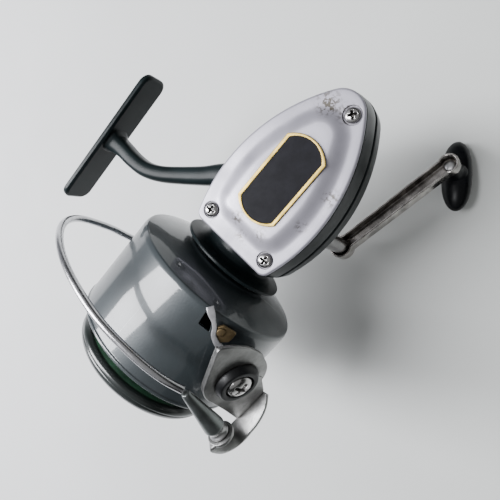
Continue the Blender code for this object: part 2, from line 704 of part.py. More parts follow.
def make_rotor():
    """Rotor cup with a stepped rear, a slot for the trip lever and flats for the bail arms."""
    rear, front, wall = ROTOR_REAR, ROTOR_FRONT, ROTOR_WALL
    outer_rear, outer_front = rotor_radius(rear), rotor_radius(front)
    corner = 2.6
    outer = [(8.4, 5.2), (8.4, 11.0), (9.4, 12.0), (9.4, 18.5), (10.2, 19.5), (12.6, 27.0),
             (14.0, 32.0), (rear - 0.4, outer_rear - corner), (rear + 0.4, outer_rear - 0.8),
             (rear + corner, outer_rear), (front - 1.6, outer_front - 0.1), (front - 1.2, outer_front + 0.3),
             (front, outer_front + 0.3)]
    inner = [(front, outer_front - wall), (rear + 4.4, outer_rear - wall), (rear + 2.0, outer_rear - 4.0),
             (14.6, 24.0), (14.0, 9.0), (19.4, 8.0), (19.4, 5.2)]
    cup = turned_part("rotor_cup", outer + inner, PAINT_GUNMETAL, ROTOR, 40)
    for side, sign in (("near", 1.0), ("far", -1.0)):
        profile = [(sign * (ROTOR_RADIUS - 1.0), 0.0), (sign * (ROTOR_RADIUS - 1.0), 6.6),
                   (sign * 39.0, 6.2), (sign * 39.0, 0.0)]
        boss = turned_part(f"pivot_boss_{side}", profile, None, BAIL, 24, "Y", False)
        combine(cup, boss, "UNION")
    post = turned_part("spring_post_form", [(29.4, 0.0), (29.4, 1.9), (35.2, 1.9), (35.2, 0.0)], None, BAIL,
                       16, "Y", False, (SPRING_X, 0.0, 0.0))
    combine(cup, post, "UNION")
    slot = finish("trip_slot", box_bm((6.4, 4.6, 14.0), (22.0, 0.0, ROTOR_RADIUS)), None, ROTOR)
    slot.matrix_local = Matrix.Rotation(SLOT_TURN - math.pi / 2.0, 4, "X")
    combine(cup, slot)
    rivet_hole = turned_part("trip_rivet_hole", [(30.0, 0.0), (30.0, 1.3), (42.0, 1.3), (42.0, 0.0)],
                             None, ROTOR, 12, "Y", False)
    rivet_hole.matrix_local = trip_frame()
    combine(cup, rivet_hole)
    bore = turned_part("pivot_bore", [(-45.0, 0.0), (-45.0, 1.9), (45.0, 1.9), (45.0, 0.0)], None, BAIL,
                       16, "Y", False)
    combine(cup, bore)
    return cup


SLOT_TURN = math.radians(36.5)
TRIP_X = 19.6
TRIP_TURN = math.radians(25.5)


def trip_frame():
    """Placement whose local Y runs outwards through the trip lever's rivet."""
    return standing(TRIP_X, 0.0, 0.0) @ Matrix.Rotation(TRIP_TURN, 4, "X")


def make_rotor_nut():
    """Hexagon nut that holds the rotor on the sleeve."""
    hexagon = [(8.0 * math.cos(math.tau * i / 6), 8.0 * math.sin(math.tau * i / 6)) for i in range(6)]
    bm = skin([[(x, y, z) for y, z in hexagon] for x in (19.8, 22.6)])
    nut = finish("rotor_nut", bm, STEEL, REEL)
    bore = [(18.0, 0.0), (18.0, SLEEVE_RADIUS + FIT), (24.0, SLEEVE_RADIUS + FIT), (24.0, 0.0)]
    combine(nut, turned_part("nut_bore", bore, None, REEL, 24, looped=False))
    return nut


def strip(points, normals, width, thick):
    """A flat strip swept along points, with its flat side facing the given normals."""
    rings = []
    for i, point in enumerate(points):
        before = Vector(points[max(i - 1, 0)])
        after = Vector(points[min(i + 1, len(points) - 1)])
        along = (after - before).normalized()
        normal = Vector(normals[i])
        normal = (normal - along * normal.dot(along)).normalized()
        across = along.cross(normal)
        base = Vector(point)
        ring = []
        for u, v in ((-1, -1), (1, -1), (1, 1), (-1, 1)):
            ring.append(tuple(base + across * (u * width / 2.0) + normal * (v * thick / 2.0)))
        rings.append(ring)
    return skin(rings)


def make_trip_lever():
    """Trip lever: from behind the cup over its rear corner to the bail arm, and its rivet."""
    points, normals = [], []
    for x, turn, radius in ((11.6, 41.5, 30.6), (12.6, 40.5, 34.2), (14.4, 38.0, 37.2), (17.0, 32.0, 37.9),
                            (19.6, 25.5, 38.0), (22.0, 20.5, 38.1), (23.0, 17.5, 38.2)):
        angle = math.radians(turn)
        points.append((x, radius * math.cos(angle), radius * math.sin(angle)))
        lean = -1.6 if x < 14.0 else -0.2
        normals.append((lean, math.cos(angle), math.sin(angle)))
    lever = finish("bail_trip_lever", strip(points, normals, 4.2, 1.1), CHROME, ROTOR)
    hole = turned_part("trip_lever_hole", [(30.0, 0.0), (30.0, 1.3), (42.0, 1.3), (42.0, 0.0)], None,
                       ROTOR, 12, "Y", False)
    hole.matrix_local = trip_frame()
    combine(lever, hole)
    rivet = [(33.0, 0.0), (33.0, 1.0), (38.9, 1.0), (38.9, 2.3), (39.5, 2.1), (39.8, 0.0)]
    pin = turned_part("trip_lever_rivet", rivet, BRONZE, ROTOR, 16, "Y", False)
    pin.matrix_local = trip_frame()


# Bail --------------------------------------------------------------------------------------------
BAIL_PLATE_LOW = 39.4
BAIL_PLATE_HIGH = 41.0
BAIL_HUB = 6.3               # bore of the arms over their bushings
ROLLER_BASE = (16.3, 50.4, -0.5)
CONE_TIP = (6.6, 43.6, 21.3)
WIRE_RADIUS = 1.45


def disc_y(radius, low, high, segments=32):
    """A disc whose axis is local Y."""
    return turned([(low, 0.0), (low, radius), (high, radius), (high, 0.0)], segments, "Y", False)


def ribbon(pairs, thick):
    """A bent strip given by the two edges of its middle surface."""
    rings = []
    for i, (low, high) in enumerate(pairs):
        middle = [(Vector(pair[0]) + Vector(pair[1])) / 2.0 for pair in
                  (pairs[max(i - 1, 0)], pairs[min(i + 1, len(pairs) - 1)])]
        across = Vector(high) - Vector(low)
        normal = across.cross(middle[1] - middle[0]).normalized() * thick / 2.0
        rings.append([tuple(Vector(low) - normal), tuple(Vector(low) + normal),
                      tuple(Vector(high) + normal), tuple(Vector(high) - normal)])
    return skin(rings)


def make_bail_arm_near():
    """Chromed arm round the near pivot: a dished plate, its fold, and the hook under the roller."""
    outline = [(x, z) for x, z in arc((0.0, 0.0), 12.6, math.radians(8.0), math.radians(258.0), 20)]
    outline += [(3.2, -19.6), (19.6, -19.9), (15.4, -8.0)]
    low = [(x, BAIL_PLATE_LOW, z) for x, z in outline]
    high = [(x, BAIL_PLATE_HIGH, z) for x, z in outline]
    arm = finish("bail_arm_near", skin([low, high]), CHROME, BAIL)
    hook = [((3.0, 39.8, -20.0), (3.4, 42.6, -20.0)), ((8.0, 39.8, -20.1), (8.0, 46.4, -20.1)),
            ((14.0, 39.8, -20.2), (14.0, 48.2, -20.2)), ((19.4, 40.6, -19.6), (20.4, 49.2, -18.8)),
            ((22.6, 43.6, -16.0), (23.8, 50.8, -14.6)), ((23.2, 46.0, -8.8), (23.8, 53.0, -7.0)),
            ((21.4, 46.8, -2.6), (21.8, 53.8, 0.2)), ((19.2, 46.6, -1.9), (19.2, 54.2, 0.5))]
    combine(arm, finish("near_hook_form", ribbon(hook, 1.5), None, BAIL), "UNION")
    combine(arm, axis_rod("near_eye_form", 5.0, -2.0, -0.3, 24), "UNION")
    bore = [(37.0, 0.0), (37.0, BAIL_HUB), (44.0, BAIL_HUB), (44.0, 0.0)]
    combine(arm, turned_part("near_arm_bore", bore, None, BAIL, 24, "Y", False))
    combine(arm, axis_rod("near_roller_hole", 1.5, -4.0, 9.0, 14))
    return arm


def roller_frame():
    """Placement with local Z from the roller's base towards the cone's tip."""
    base, tip = Vector(ROLLER_BASE), Vector(CONE_TIP)
    turn = Vector((0.0, 0.0, 1.0)).rotation_difference((tip - base).normalized())
    return Matrix.Translation(base * MM) @ turn.to_matrix().to_4x4()


def axis_rod(name, radius, low, high, segments=20):
    """A plain rod on the roller's axis."""
    rod = turned_part(name, [(low, 0.0), (low, radius), (high, radius), (high, 0.0)], None, BAIL,
                      segments, "Z", False)
    rod.matrix_local = roller_frame()
    return rod


def make_roller_set():
    """Line roller, the cone behind it and the screw that holds both."""
    length = (Vector(CONE_TIP) - Vector(ROLLER_BASE)).length
    roller_profile = [(0.0, 1.6), (0.0, 3.6), (0.6, 3.7), (1.6, 3.0), (2.6, 3.0), (3.6, 3.6), (3.6, 1.6)]
    roller = turned_part("line_roller", roller_profile, STEEL, BAIL, 28, "Z")
    roller.matrix_local = roller_frame()
    cone_profile = [(7.4, 0.0), (7.4, 1.6), (3.9, 1.6), (3.9, 3.9), (5.2, 3.9), (8.0, 3.3),
                    (length - 3.0, 1.5), (length - 0.6, 1.2), (length - 0.6, 0.0)]
    cone = turned_part("bail_cone", cone_profile, CHROME, BAIL, 28, "Z", False)
    cone.matrix_local = roller_frame()
    screw_profile = [(-3.8, 0.0), (-3.8, 1.4), (-3.3, 2.4), (-2.35, 2.6), (-2.3, 1.25), (7.0, 1.25),
                     (7.0, 0.0)]
    screw = turned_part("roller_screw", screw_profile, STEEL, BAIL, 24, "Z", False)
    screw.matrix_local = roller_frame()


def smooth_path(points, per_span):
    """Catmull-Rom points through a route's own points."""
    padded = [points[0]] + list(points) + [points[-1]]
    path = []
    for i in range(1, len(padded) - 2):
        p0, p1, p2, p3 = (Vector(p) for p in padded[i - 1:i + 3])
        for k in range(per_span):
            t = k / per_span
            path.append(0.5 * ((2 * p1) + (p2 - p0) * t + (2 * p0 - 5 * p1 + 4 * p2 - p3) * t * t
                               + (3 * p1 - p0 - 3 * p2 + p3) * t ** 3))
    path.append(Vector(points[-1]))
    return path


def tube(path, radius, sides=8):
    """A round tube along a path, with flat ends."""
    rings = []
    normal = Vector((1.0, 0.0, 0.0))
    for i, point in enumerate(path):
        before = path[max(i - 1, 0)]
        after = path[min(i + 1, len(path) - 1)]
        along = (after - before).normalized()
        normal = (normal - along * normal.dot(along)).normalized()
        binormal = along.cross(normal)
        rings.append([tuple(point + normal * (radius * math.cos(math.tau * k / sides))
                            + binormal * (radius * math.sin(math.tau * k / sides)))
                      for k in range(sides)])
    return skin(rings)


WIRE_ROUTE = [  # pivot frame: x forward, y out along the pivot axis, z up over the rotor
    (6.4, 43.0, 21.9), (6.3, 38.9, 30.2), (6.1, 30.5, 39.3), (5.7, 17.0, 48.6), (5.2, -2.5, 54.4),
    (4.8, -19.6, 54.6), (4.4, -33.4, 50.0), (4.1, -41.4, 41.0), (4.0, -43.9, 27.0), (4.0, -43.0, 19.0),
    (4.0, -42.4, 14.4),
]


def make_bail_wire():
    """The bail wire, from the cone over the rotor to the far arm."""
    return finish("bail_wire", tube(smooth_path(WIRE_ROUTE, 3), WIRE_RADIUS), CHROME, BAIL)


def make_bail_arm_far():
    """Plain arm plate round the far pivot, with a socket for the wire's end."""
    arm = finish("bail_arm_far", disc_y(10.8, -BAIL_PLATE_HIGH, -BAIL_PLATE_LOW), CHROME, BAIL)
    lug = finish("far_lug_form", box_bm((6.0, 3.8, 5.4), (4.0, -41.7, 11.3)), None, BAIL)
    combine(arm, lug, "UNION")
    bore = [(-37.0, 0.0), (-37.0, BAIL_HUB), (-45.0, BAIL_HUB), (-45.0, 0.0)]
    combine(arm, turned_part("far_arm_bore", bore, None, BAIL, 24, "Y", False))
    return arm


def make_bail_pivots():
    """Black shouldered bushings and the screws that hold the bail arms on the rotor."""
    for side, sign in (("near", 1.0), ("far", -1.0)):
        bush = [(39.4, 1.9), (39.4, 6.0), (41.3, 6.0), (41.3, 8.6), (42.2, 8.4), (44.2, 7.3), (44.2, 5.4),
                (42.7, 5.4), (42.7, 1.9)]
        profile = [(sign * y, r) for y, r in bush]
        turned_part(f"bail_bushing_{side}", profile, PLASTIC, BAIL, 20, "Y")
        tip = Matrix.Rotation(-sign * math.pi / 2.0, 4, "X")
        pan_screw(f"bail_screw_{side}", 4.9, 1.6, 9.4, BAIL, standing(0.0, sign * 43.0, 0.0) @ tip)


SPRING_X = -9.0


def make_bail_spring():
    """Coiled return spring inside the cup, under the near pivot."""
    turns, coil, wire = 3.0, 2.9, 0.45
    steps = 36
    path = []
    for i in range(steps + 1):
        turn = math.tau * turns * i / steps
        path.append(Vector((coil * math.cos(turn), 33.0 - 1.15 * turns * i / steps, coil * math.sin(turn))))
    return finish("bail_spring", tube(path, wire, 6), STEEL, BAIL, (SPRING_X, 0.0, 0.0))


# Spool, shaft and drag ---------------------------------------------------------------------------
def make_spool_shaft():
    """Main shaft from the slider to the drag knob."""
    start = CRANK_X - STROKE / 2.0 - 5.6
    profile = [(start, 0.0), (start, SHAFT_RADIUS), (42.6, SHAFT_RADIUS), (42.6, 3.4), (43.6, 3.4),
               (43.6, SHAFT_RADIUS), (76.4, SHAFT_RADIUS), (77.0, 1.4), (77.0, 0.0)]
    return turned_part("spool_shaft", profile, STEEL, REEL, 24, looped=False)


def make_slider():
    """Cross-head on the shaft, slotted above the drive gear's eccentric stub."""
    slider = finish("oscillation_slider", box_bm((6.4, 17.6, 1.6), (0.0, 0.0, -2.9)), BRASS, SLIDE)
    clamp = finish("slider_clamp_form", box_bm((5.0, 7.6, 6.0), (0.0, 0.0, 0.0)), None, SLIDE)
    combine(slider, clamp, "UNION")
    ear = finish("slider_ear_form", box_bm((5.0, 4.6, 5.4), (0.0, GUIDE_Y, -0.2)), None, SLIDE)
    combine(slider, ear, "UNION")
    slot = finish("slider_slot", box_bm((3.6, 15.0, 1.2), (0.0, -0.6, -3.5)), None, SLIDE)
    combine(slider, slot)
    seat = [(-6.0, 0.0), (-6.0, SHAFT_RADIUS + FIT), (6.0, SHAFT_RADIUS + FIT), (6.0, 0.0)]
    combine(slider, turned_part("slider_seat", seat, None, SLIDE, 20, looped=False))
    hole = [(-6.0, 0.0), (-6.0, 1.5), (6.0, 1.5), (6.0, 0.0)]
    combine(slider, turned_part("slider_guide_hole", hole, None, SLIDE, 16, looped=False,
                                location=(0.0, GUIDE_Y, 0.0)))
    return slider


def make_slider_guide():
    """Fixed rod that keeps the slider from turning."""
    profile = [(GUIDE_REAR, 0.0), (GUIDE_REAR, 1.1), (GUIDE_FRONT, 1.1), (GUIDE_FRONT, 0.0)]
    return turned_part("slider_guide_rod", profile, STEEL, REEL, 16, looped=False,
                       location=(0.0, *guide_line()))


def make_spool():
    """Spool: rear flange inside the cup, hollow arbor, and a thick rolled front flange."""
    rear, front = SPOOL_REAR, SPOOL_FRONT
    bore = SHAFT_RADIUS + FIT
    lip = SPOOL_RADIUS
    outer = [(rear, ARBOR_RADIUS - 1.8), (rear, 33.0), (rear + 1.6, 33.0), (rear + 2.2, ARBOR_RADIUS),
             (front - 8.2, ARBOR_RADIUS), (front - 7.6, lip - 1.8), (front - 6.6, lip - 0.5),
             (front - 4.6, lip), (front - 2.4, lip - 0.5), (front - 0.7, lip - 2.2),
             (front, lip - 4.6), (front, lip - 7.0), (front - 2.2, lip - 9.0), (front - 3.0, 13.6),
             (front - 3.0, 11.0), (front - 9.0, 10.4), (front - 9.0, bore)]
    inner = [(rear + 2.5, bore), (rear + 2.5, 6.0), (front - 11.4, 6.4), (front - 10.8, 12.4),
             (front - 5.0, 13.0), (front - 5.0, ARBOR_RADIUS - 1.8)]
    return turned_part("spool", outer + inner, SPOOL_PAINT, REEL, 36)


def make_line():
    """Wound line, as one barrel-shaped body on the arbor."""
    low, high = SPOOL_REAR + 2.6, SPOOL_FRONT - 8.6
    inner = ARBOR_RADIUS + FIT
    outer = [(low, inner), (low, 27.6), (low + 1.6, 28.7), (0.5 * (low + high), 29.2), (high - 1.6, 28.7),
             (high, 27.6), (high, inner)]
    return turned_part("line_winding", outer, LINE, REEL, 32)


def make_drag():
    """Drag washers in the spool's front well, the pressure spring and the drag knob."""
    well = SPOOL_FRONT - 9.0
    bore = SHAFT_RADIUS + FIT
    stack = [("drag_felt_inner", 0.3, 1.2, FELT), ("drag_disc_inner", 1.5, 2.3, STEEL),
             ("drag_felt_outer", 2.6, 3.5, FELT), ("drag_disc_outer", 3.8, 4.6, STEEL)]
    for name, low, high, spec in stack:
        profile = [(well + low, bore), (well + low, 9.9), (well + high, 9.9), (well + high, bore)]
        turned_part(name, profile, spec, REEL, 24)
    path = []
    steps = 36
    for i in range(steps + 1):
        turn = math.tau * 3.0 * i / steps
        path.append(Vector((well + 5.4 + 4.6 * i / steps, 4.2 * math.cos(turn), 4.2 * math.sin(turn))))
    finish("drag_spring", tube(path, 0.4, 6), STEEL, REEL)
    front = SPOOL_FRONT
    grip = []
    teeth = 12
    for i in range(teeth * 4):
        radius = 9.6 if i % 4 in (0, 1) else 8.9
        turn = math.tau * i / (teeth * 4)
        grip.append((radius * math.cos(turn), radius * math.sin(turn)))
    rings = []
    for x, scale in ((front - 1.2, 0.94), (front - 0.6, 1.0), (front + 5.8, 1.0), (front + 7.0, 0.86)):
        rings.append([(x, y * scale, z * scale) for y, z in grip])
    knob = finish("drag_knob", skin(rings), PLASTIC, REEL)
    socket = [(front - 2.0, 0.0), (front - 2.0, 5.4), (front + 1.6, 5.4), (front + 1.6, bore),
              (front + 8.0, bore), (front + 8.0, 0.0)]
    combine(knob, turned_part("drag_socket", socket, None, REEL, 24, looped=False))


def make_click():
    """Click wheel behind the spool and the spring pawl that rides in its teeth."""
    teeth = 16
    outline = []
    for i in range(teeth * 2):
        radius = 10.4 if i % 2 == 0 else 9.2
        turn = math.tau * i / (teeth * 2)
        outline.append((radius * math.cos(turn), radius * math.sin(turn)))
    low = SPOOL_REAR - 0.1
    bm = skin([[(x, y, z) for y, z in outline] for x in (low, low + 1.9)])
    wheel = finish("click_wheel", bm, ZINC, REEL)
    bore = [(low - 1.0, 0.0), (low - 1.0, 2.2), (low + 4.0, 2.2), (low + 4.0, 0.0)]
    combine(wheel, turned_part("click_bore", bore, None, REEL, 16, looped=False))
    inside = ARBOR_RADIUS - 1.8
    path = [(54.0, 0.0, inside - 0.9), (46.6, 0.0, inside - 0.9), (45.2, 0.0, inside - 1.6),
            (44.9, 0.0, inside - 3.4), (44.9, 0.0, 10.9)]
    facing = [(0.0, 0.0, 1.0), (0.0, 0.0, 1.0), (-0.6, 0.0, 0.8), (-1.0, 0.0, 0.2), (-1.0, 0.0, 0.0)]
    finish("click_pawl", strip(path, facing, 3.4, 0.8), STEEL, REEL)


# Assembly ----------------------------------------------------------------------------------------
make_gearcase()
make_side_plate()
make_badge()
make_plate_screws()
make_neck_bearing()
make_crank_bushing()
make_drive_gear()
make_crank_shaft()
make_ratchet()
make_crank_hub()
make_crank_arm()
make_arm_screw()
make_knob_pin()
make_knob()
make_slider()
make_slider_guide()
make_anti_reverse()
make_pinion()
make_rotor()
make_rotor_nut()
make_trip_lever()
make_bail_arm_near()
make_bail_arm_far()
make_roller_set()
make_bail_wire()
make_bail_pivots()
make_bail_spring()
make_spool_shaft()
make_spool()
make_line()
make_drag()
make_click()
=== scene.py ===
"""Looks of the open-face spinning reel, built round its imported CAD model.

Pieces are modelled in millimetres in the reel's own axes (X forward along the rotor axis, Y from the
foot towards the reel, Z out of the side plate) and placed in the row frame, in metres.
"""
import math

import bmesh
import bpy
from mathutils import Matrix, Vector


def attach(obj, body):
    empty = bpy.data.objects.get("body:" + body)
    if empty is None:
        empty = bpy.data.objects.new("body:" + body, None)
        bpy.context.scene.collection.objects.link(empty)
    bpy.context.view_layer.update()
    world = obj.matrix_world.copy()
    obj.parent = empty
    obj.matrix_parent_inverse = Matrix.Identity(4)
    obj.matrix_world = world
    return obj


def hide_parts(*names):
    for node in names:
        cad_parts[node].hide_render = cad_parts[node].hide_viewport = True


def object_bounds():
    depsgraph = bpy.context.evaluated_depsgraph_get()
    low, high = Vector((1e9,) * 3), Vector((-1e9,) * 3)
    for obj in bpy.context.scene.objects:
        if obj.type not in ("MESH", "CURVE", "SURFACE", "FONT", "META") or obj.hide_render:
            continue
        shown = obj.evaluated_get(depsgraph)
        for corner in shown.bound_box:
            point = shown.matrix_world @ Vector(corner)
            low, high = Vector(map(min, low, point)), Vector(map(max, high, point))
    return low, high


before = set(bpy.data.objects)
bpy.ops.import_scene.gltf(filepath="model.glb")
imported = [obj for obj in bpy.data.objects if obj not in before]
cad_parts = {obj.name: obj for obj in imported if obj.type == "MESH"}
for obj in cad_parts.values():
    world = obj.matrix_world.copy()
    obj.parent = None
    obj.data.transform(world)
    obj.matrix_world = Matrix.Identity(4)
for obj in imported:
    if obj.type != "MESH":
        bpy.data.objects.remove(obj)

CAD_BOX = [list(corner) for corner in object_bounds()]
SCENE = bpy.context.scene
MM = 0.001
SHARP_ABOVE = 32.0      # degrees between faces, where shading stays sharp
ADD, CUT = "UNION", "DIFFERENCE"


def at(x=0.0, y=0.0, z=0.0):
    """A shift."""
    return Matrix.Translation((x, y, z))


def spun(degrees, axis):
    """A turn about an axis."""
    return Matrix.Rotation(math.radians(degrees), 4, axis)


# --- Axes, in millimetres
SEAT_TO_AXIS = 76.0
CRANK_TILT = 22.0       # degrees, the crank axis leans away from the foot
BAIL_TURN = 31.0        # degrees, the rotor at rest
REEL = at(-7.0, SEAT_TO_AXIS)
CRANK_LOCAL = at(-17.8) @ spun(CRANK_TILT, "X")
CRANK = REEL @ CRANK_LOCAL
ROTOR = REEL @ spun(BAIL_TURN, "X")
BAIL_IN_ROTOR = at(33.0)
BAIL = ROTOR @ BAIL_IN_ROTOR


# --- Mesh helpers
def linked(name, data):
    """A new object in the scene."""
    obj = bpy.data.objects.new(name, data)
    SCENE.collection.objects.link(obj)
    return obj


def mesh_of(bm, name):
    """A mesh with the bmesh's contents; the bmesh is used up."""
    mesh = bpy.data.meshes.new(name)
    bm.to_mesh(mesh)
    bm.free()
    return mesh


def arc(centre, radius, start, end, steps):
    """Points on an arc, both ends included, angles in radians."""
    return [(centre[0] + radius * math.cos(start + (end - start) * i / steps),
             centre[1] + radius * math.sin(start + (end - start) * i / steps))
            for i in range(steps + 1)]


def rounded(points, radius, steps=3, closed=True, sharpest=160.0):
    """The polyline with its corners replaced by short curves; nearly straight corners are kept."""
    result = []
    count = len(points)
    for i, point in enumerate(points):
        if not closed and i in (0, count - 1):
            result.append(tuple(point))
            continue
        corner = Vector(point)
        back = Vector(points[i - 1]) - corner
        ahead = Vector(points[(i + 1) % count]) - corner
        if min(back.length, ahead.length) < 1e-6 or math.degrees(back.angle(ahead)) > sharpest:
            result.append(tuple(point))
            continue
        reach = min(radius, back.length * 0.45, ahead.length * 0.45)
        start = corner + back.normalized() * reach
        end = corner + ahead.normalized() * reach
        for k in range(steps + 1):
            t = k / steps
            result.append(tuple(start * (1 - t) ** 2 + corner * (2 * t * (1 - t)) + end * t * t))
    return result


def spline(rows, per_span):
    """Catmull-Rom rows of numbers through the given rows."""
    padded = [rows[0], *rows, rows[-1]]
    result = []
    for i in range(1, len(padded) - 2):
        spans = list(zip(*padded[i - 1:i + 3]))
        for k in range(per_span):
            t = k / per_span
            result.append(tuple(0.5 * (2 * b + (c - a) * t + (2 * a - 5 * b + 4 * c - d) * t * t
                                       + (3 * b - a - 3 * c + d) * t ** 3) for a, b, c, d in spans))
    result.append(tuple(rows[-1]))
    return result


def skin(rings, looped=False):
    """Skins rings of equal length; the ends are capped, or joined when looped."""
    bm = bmesh.new()
    loops = [[bm.verts.new(point) for point in ring] for ring in rings]
    count = len(loops[0])
    pairs = list(zip(loops, loops[1:]))
    if looped:
        pairs.append((loops[-1], loops[0]))
    for low, high in pairs:
        for i in range(count):
            j = (i + 1) % count
            bm.faces.new((low[i], low[j], high[j], high[i]))
    if not looped:
        bm.faces.new(list(reversed(loops[0])))
        bm.faces.new(loops[-1])
    return bm


def turned(profile, segments=96, axis="X", looped=False, soft=0.0, steps=3):
    """Turns a (position, radius) profile about an axis, with its corners rounded by soft."""
    if soft:
        profile = rounded(profile, soft, steps, closed=looped)
    bm = bmesh.new()
    place = {"X": lambda p, r: (p, r, 0.0), "Y": lambda p, r: (0.0, p, r),
             "Z": lambda p, r: (r, 0.0, p)}[axis]
    verts = [bm.verts.new(place(p, r)) for p, r in profile]
    edges = [bm.edges.new(pair) for pair in zip(verts, verts[1:])]
    if looped:
        edges.append(bm.edges.new((verts[-1], verts[0])))
    direction = {"X": (1, 0, 0), "Y": (0, 1, 0), "Z": (0, 0, 1)}[axis]
    bmesh.ops.spin(bm, geom=verts + edges, cent=(0, 0, 0), axis=direction, dvec=(0, 0, 0),
                   angle=math.tau, steps=segments, use_merge=True)
    bmesh.ops.remove_doubles(bm, verts=bm.verts, dist=1e-5)
    return bm


def prism(outline, low, high, axis="Z"):
    """An outline extruded along an axis; with Y, the outline is in X and Z."""
    if axis == "Y":
        return skin([[(x, low, z) for x, z in outline], [(x, high, z) for x, z in outline]])
    return skin([[(x, y, low) for x, y in outline], [(x, y, high) for x, y in outline]])


def at_height(outline, z):
    """An XY outline as a ring at one height."""
    return [(x, y, z) for x, y in outline]


def sweep(stations, corner=0.3):
    """A strip with rounded edges through (centre, across, normal, width, thickness) stations."""
    rings = []
    for centre, across, normal, width, thick in stations:
        w, h = width / 2.0, thick / 2.0
        section = rounded([(-w, -h), (w, -h), (w, h), (-w, h)], corner, 3)
        rings.append([tuple(Vector(centre) + across * u + normal * v) for u, v in section])
    return skin(rings)


def tube(path, radius, sides=16):
    """A round tube along a path."""
    rings = []
    normal = Vector((1.0, 0.0, 0.0))
    points = [Vector(p) for p in path]
    for i, point in enumerate(points):
        along = (points[min(i + 1, len(points) - 1)] - points[max(i - 1, 0)]).normalized()
        normal = (normal - along * normal.dot(along)).normalized()
        binormal = along.cross(normal)
        rings.append([tuple(point + normal * (radius * math.cos(math.tau * k / sides))
                            + binormal * (radius * math.sin(math.tau * k / sides)))
                      for k in range(sides)])
    return skin(rings)


def moved(bm, place):
    """The bmesh in another placement."""
    bmesh.ops.transform(bm, matrix=place, verts=bm.verts)
    return bm


def step_object(bm):
    """A temporary object that holds a bmesh for a modifier."""
    bmesh.ops.recalc_face_normals(bm, faces=bm.faces)
    return linked("step", mesh_of(bm, "step"))


def evaluated(obj, *others):
    """The object's mesh after its modifiers, as a bmesh; the objects used are removed."""
    bpy.context.view_layer.update()
    mesh = bpy.data.meshes.new_from_object(obj.evaluated_get(bpy.context.evaluated_depsgraph_get()))
    result = bmesh.new()
    result.from_mesh(mesh)
    bpy.data.meshes.remove(mesh)
    for used in (obj, *others):
        data = used.data
        bpy.data.objects.remove(used)
        bpy.data.meshes.remove(data)
    return result


def boolean(bm, steps):
    """Applies (operation, bmesh) steps in turn to a bmesh, all in the same axes."""
    base = step_object(bm)
    tools = []
    for operation, tool in steps:
        mod = base.modifiers.new("step", "BOOLEAN")
        mod.operation = operation
        mod.solver = "EXACT"
        tools.append(step_object(tool))
        mod.object = tools[-1]
    return evaluated(base, *tools)


def bevelled(bm, width, segments=3, angle=40.0):
    """Rounds the sharp edges of a bmesh."""
    obj = step_object(bm)
    mod = obj.modifiers.new("round", "BEVEL")
    mod.width = width
    mod.segments = segments
    mod.limit_method = "ANGLE"
    mod.angle_limit = math.radians(angle)
    return evaluated(obj)


def piece(name, bm, place, mat, body, nodes=()):
    """A named visible piece, placed in the row frame, that rides a body."""
    bmesh.ops.remove_doubles(bm, verts=bm.verts, dist=1e-4)
    bmesh.ops.recalc_face_normals(bm, faces=bm.faces)
    mesh = mesh_of(moved(bm, Matrix.Scale(MM, 4) @ place), name)
    mesh.shade_smooth()
    mesh.set_sharp_from_angle(angle=math.radians(SHARP_ABOVE))
    mesh.materials.append(mat)
    obj = linked(name, mesh)
    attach(obj, body)
    if nodes:
        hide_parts(*nodes)


# --- Materials
class Graph:
    """Short calls for building a material's nodes."""

    def __init__(self, name):
        self.mat = bpy.data.materials.new(name)
        self.mat.use_nodes = True
        self.tree = self.mat.node_tree
        self.shader = self.tree.nodes["Principled BSDF"]
        self.coords = self.node("ShaderNodeTexCoord").outputs["Object"]

    def node(self, kind, **settings):
        made = self.tree.nodes.new(kind)
        for key, value in settings.items():
            setattr(made, key, value)
        return made

    def put(self, target, value):
        """Links a socket, or sets a plain value."""
        if isinstance(value, bpy.types.NodeSocket):
            self.tree.links.new(value, target)
        elif isinstance(value, tuple) and len(value) == 3 and target.type == "RGBA":
            target.default_value = (*value, 1.0)
        else:
            target.default_value = value

    def math(self, operation, a, b=0.0, clamp=False):
        made = self.node("ShaderNodeMath", operation=operation, use_clamp=clamp)
        self.put(made.inputs[0], a)
        self.put(made.inputs[1], b)
        return made.outputs[0]

    def mapped(self, value, low, high, out_low=0.0, out_high=1.0):
        made = self.node("ShaderNodeMapRange")
        for key, number in (("From Min", low), ("From Max", high), ("To Min", out_low),
                            ("To Max", out_high)):
            made.inputs[key].default_value = number
        self.put(made.inputs["Value"], value)
        return made.outputs["Result"]

    def noise(self, scale, detail=3.0, stretch=(1.0, 1.0, 1.0), turn=(0.0, 0.0, 0.0), offset=0.0):
        place = self.node("ShaderNodeMapping")
        place.inputs["Rotation"].default_value = turn
        place.inputs["Scale"].default_value = stretch
        place.inputs["Location"].default_value = (offset, offset * 1.7, -offset)
        self.put(place.inputs["Vector"], self.coords)
        made = self.node("ShaderNodeTexNoise")
        made.inputs["Scale"].default_value = scale
        made.inputs["Detail"].default_value = detail
        self.put(made.inputs["Vector"], place.outputs["Vector"])
        return made.outputs["Fac"]

    def mix(self, factor, first, second):
        made = self.node("ShaderNodeMix", data_type="RGBA")
        self.put(made.inputs["Factor"], factor)
        self.put(made.inputs["A"], first)
        self.put(made.inputs["B"], second)
        return made.outputs["Result"]

    def spot(self, centre, radius):
        """1 near a point of the object, falling to 0 at the radius."""
        made = self.node("ShaderNodeVectorMath", operation="DISTANCE")
        self.put(made.inputs[0], self.coords)
        made.inputs[1].default_value = centre
        return self.mapped(made.outputs["Value"], 0.0, radius, 1.0, 0.0)


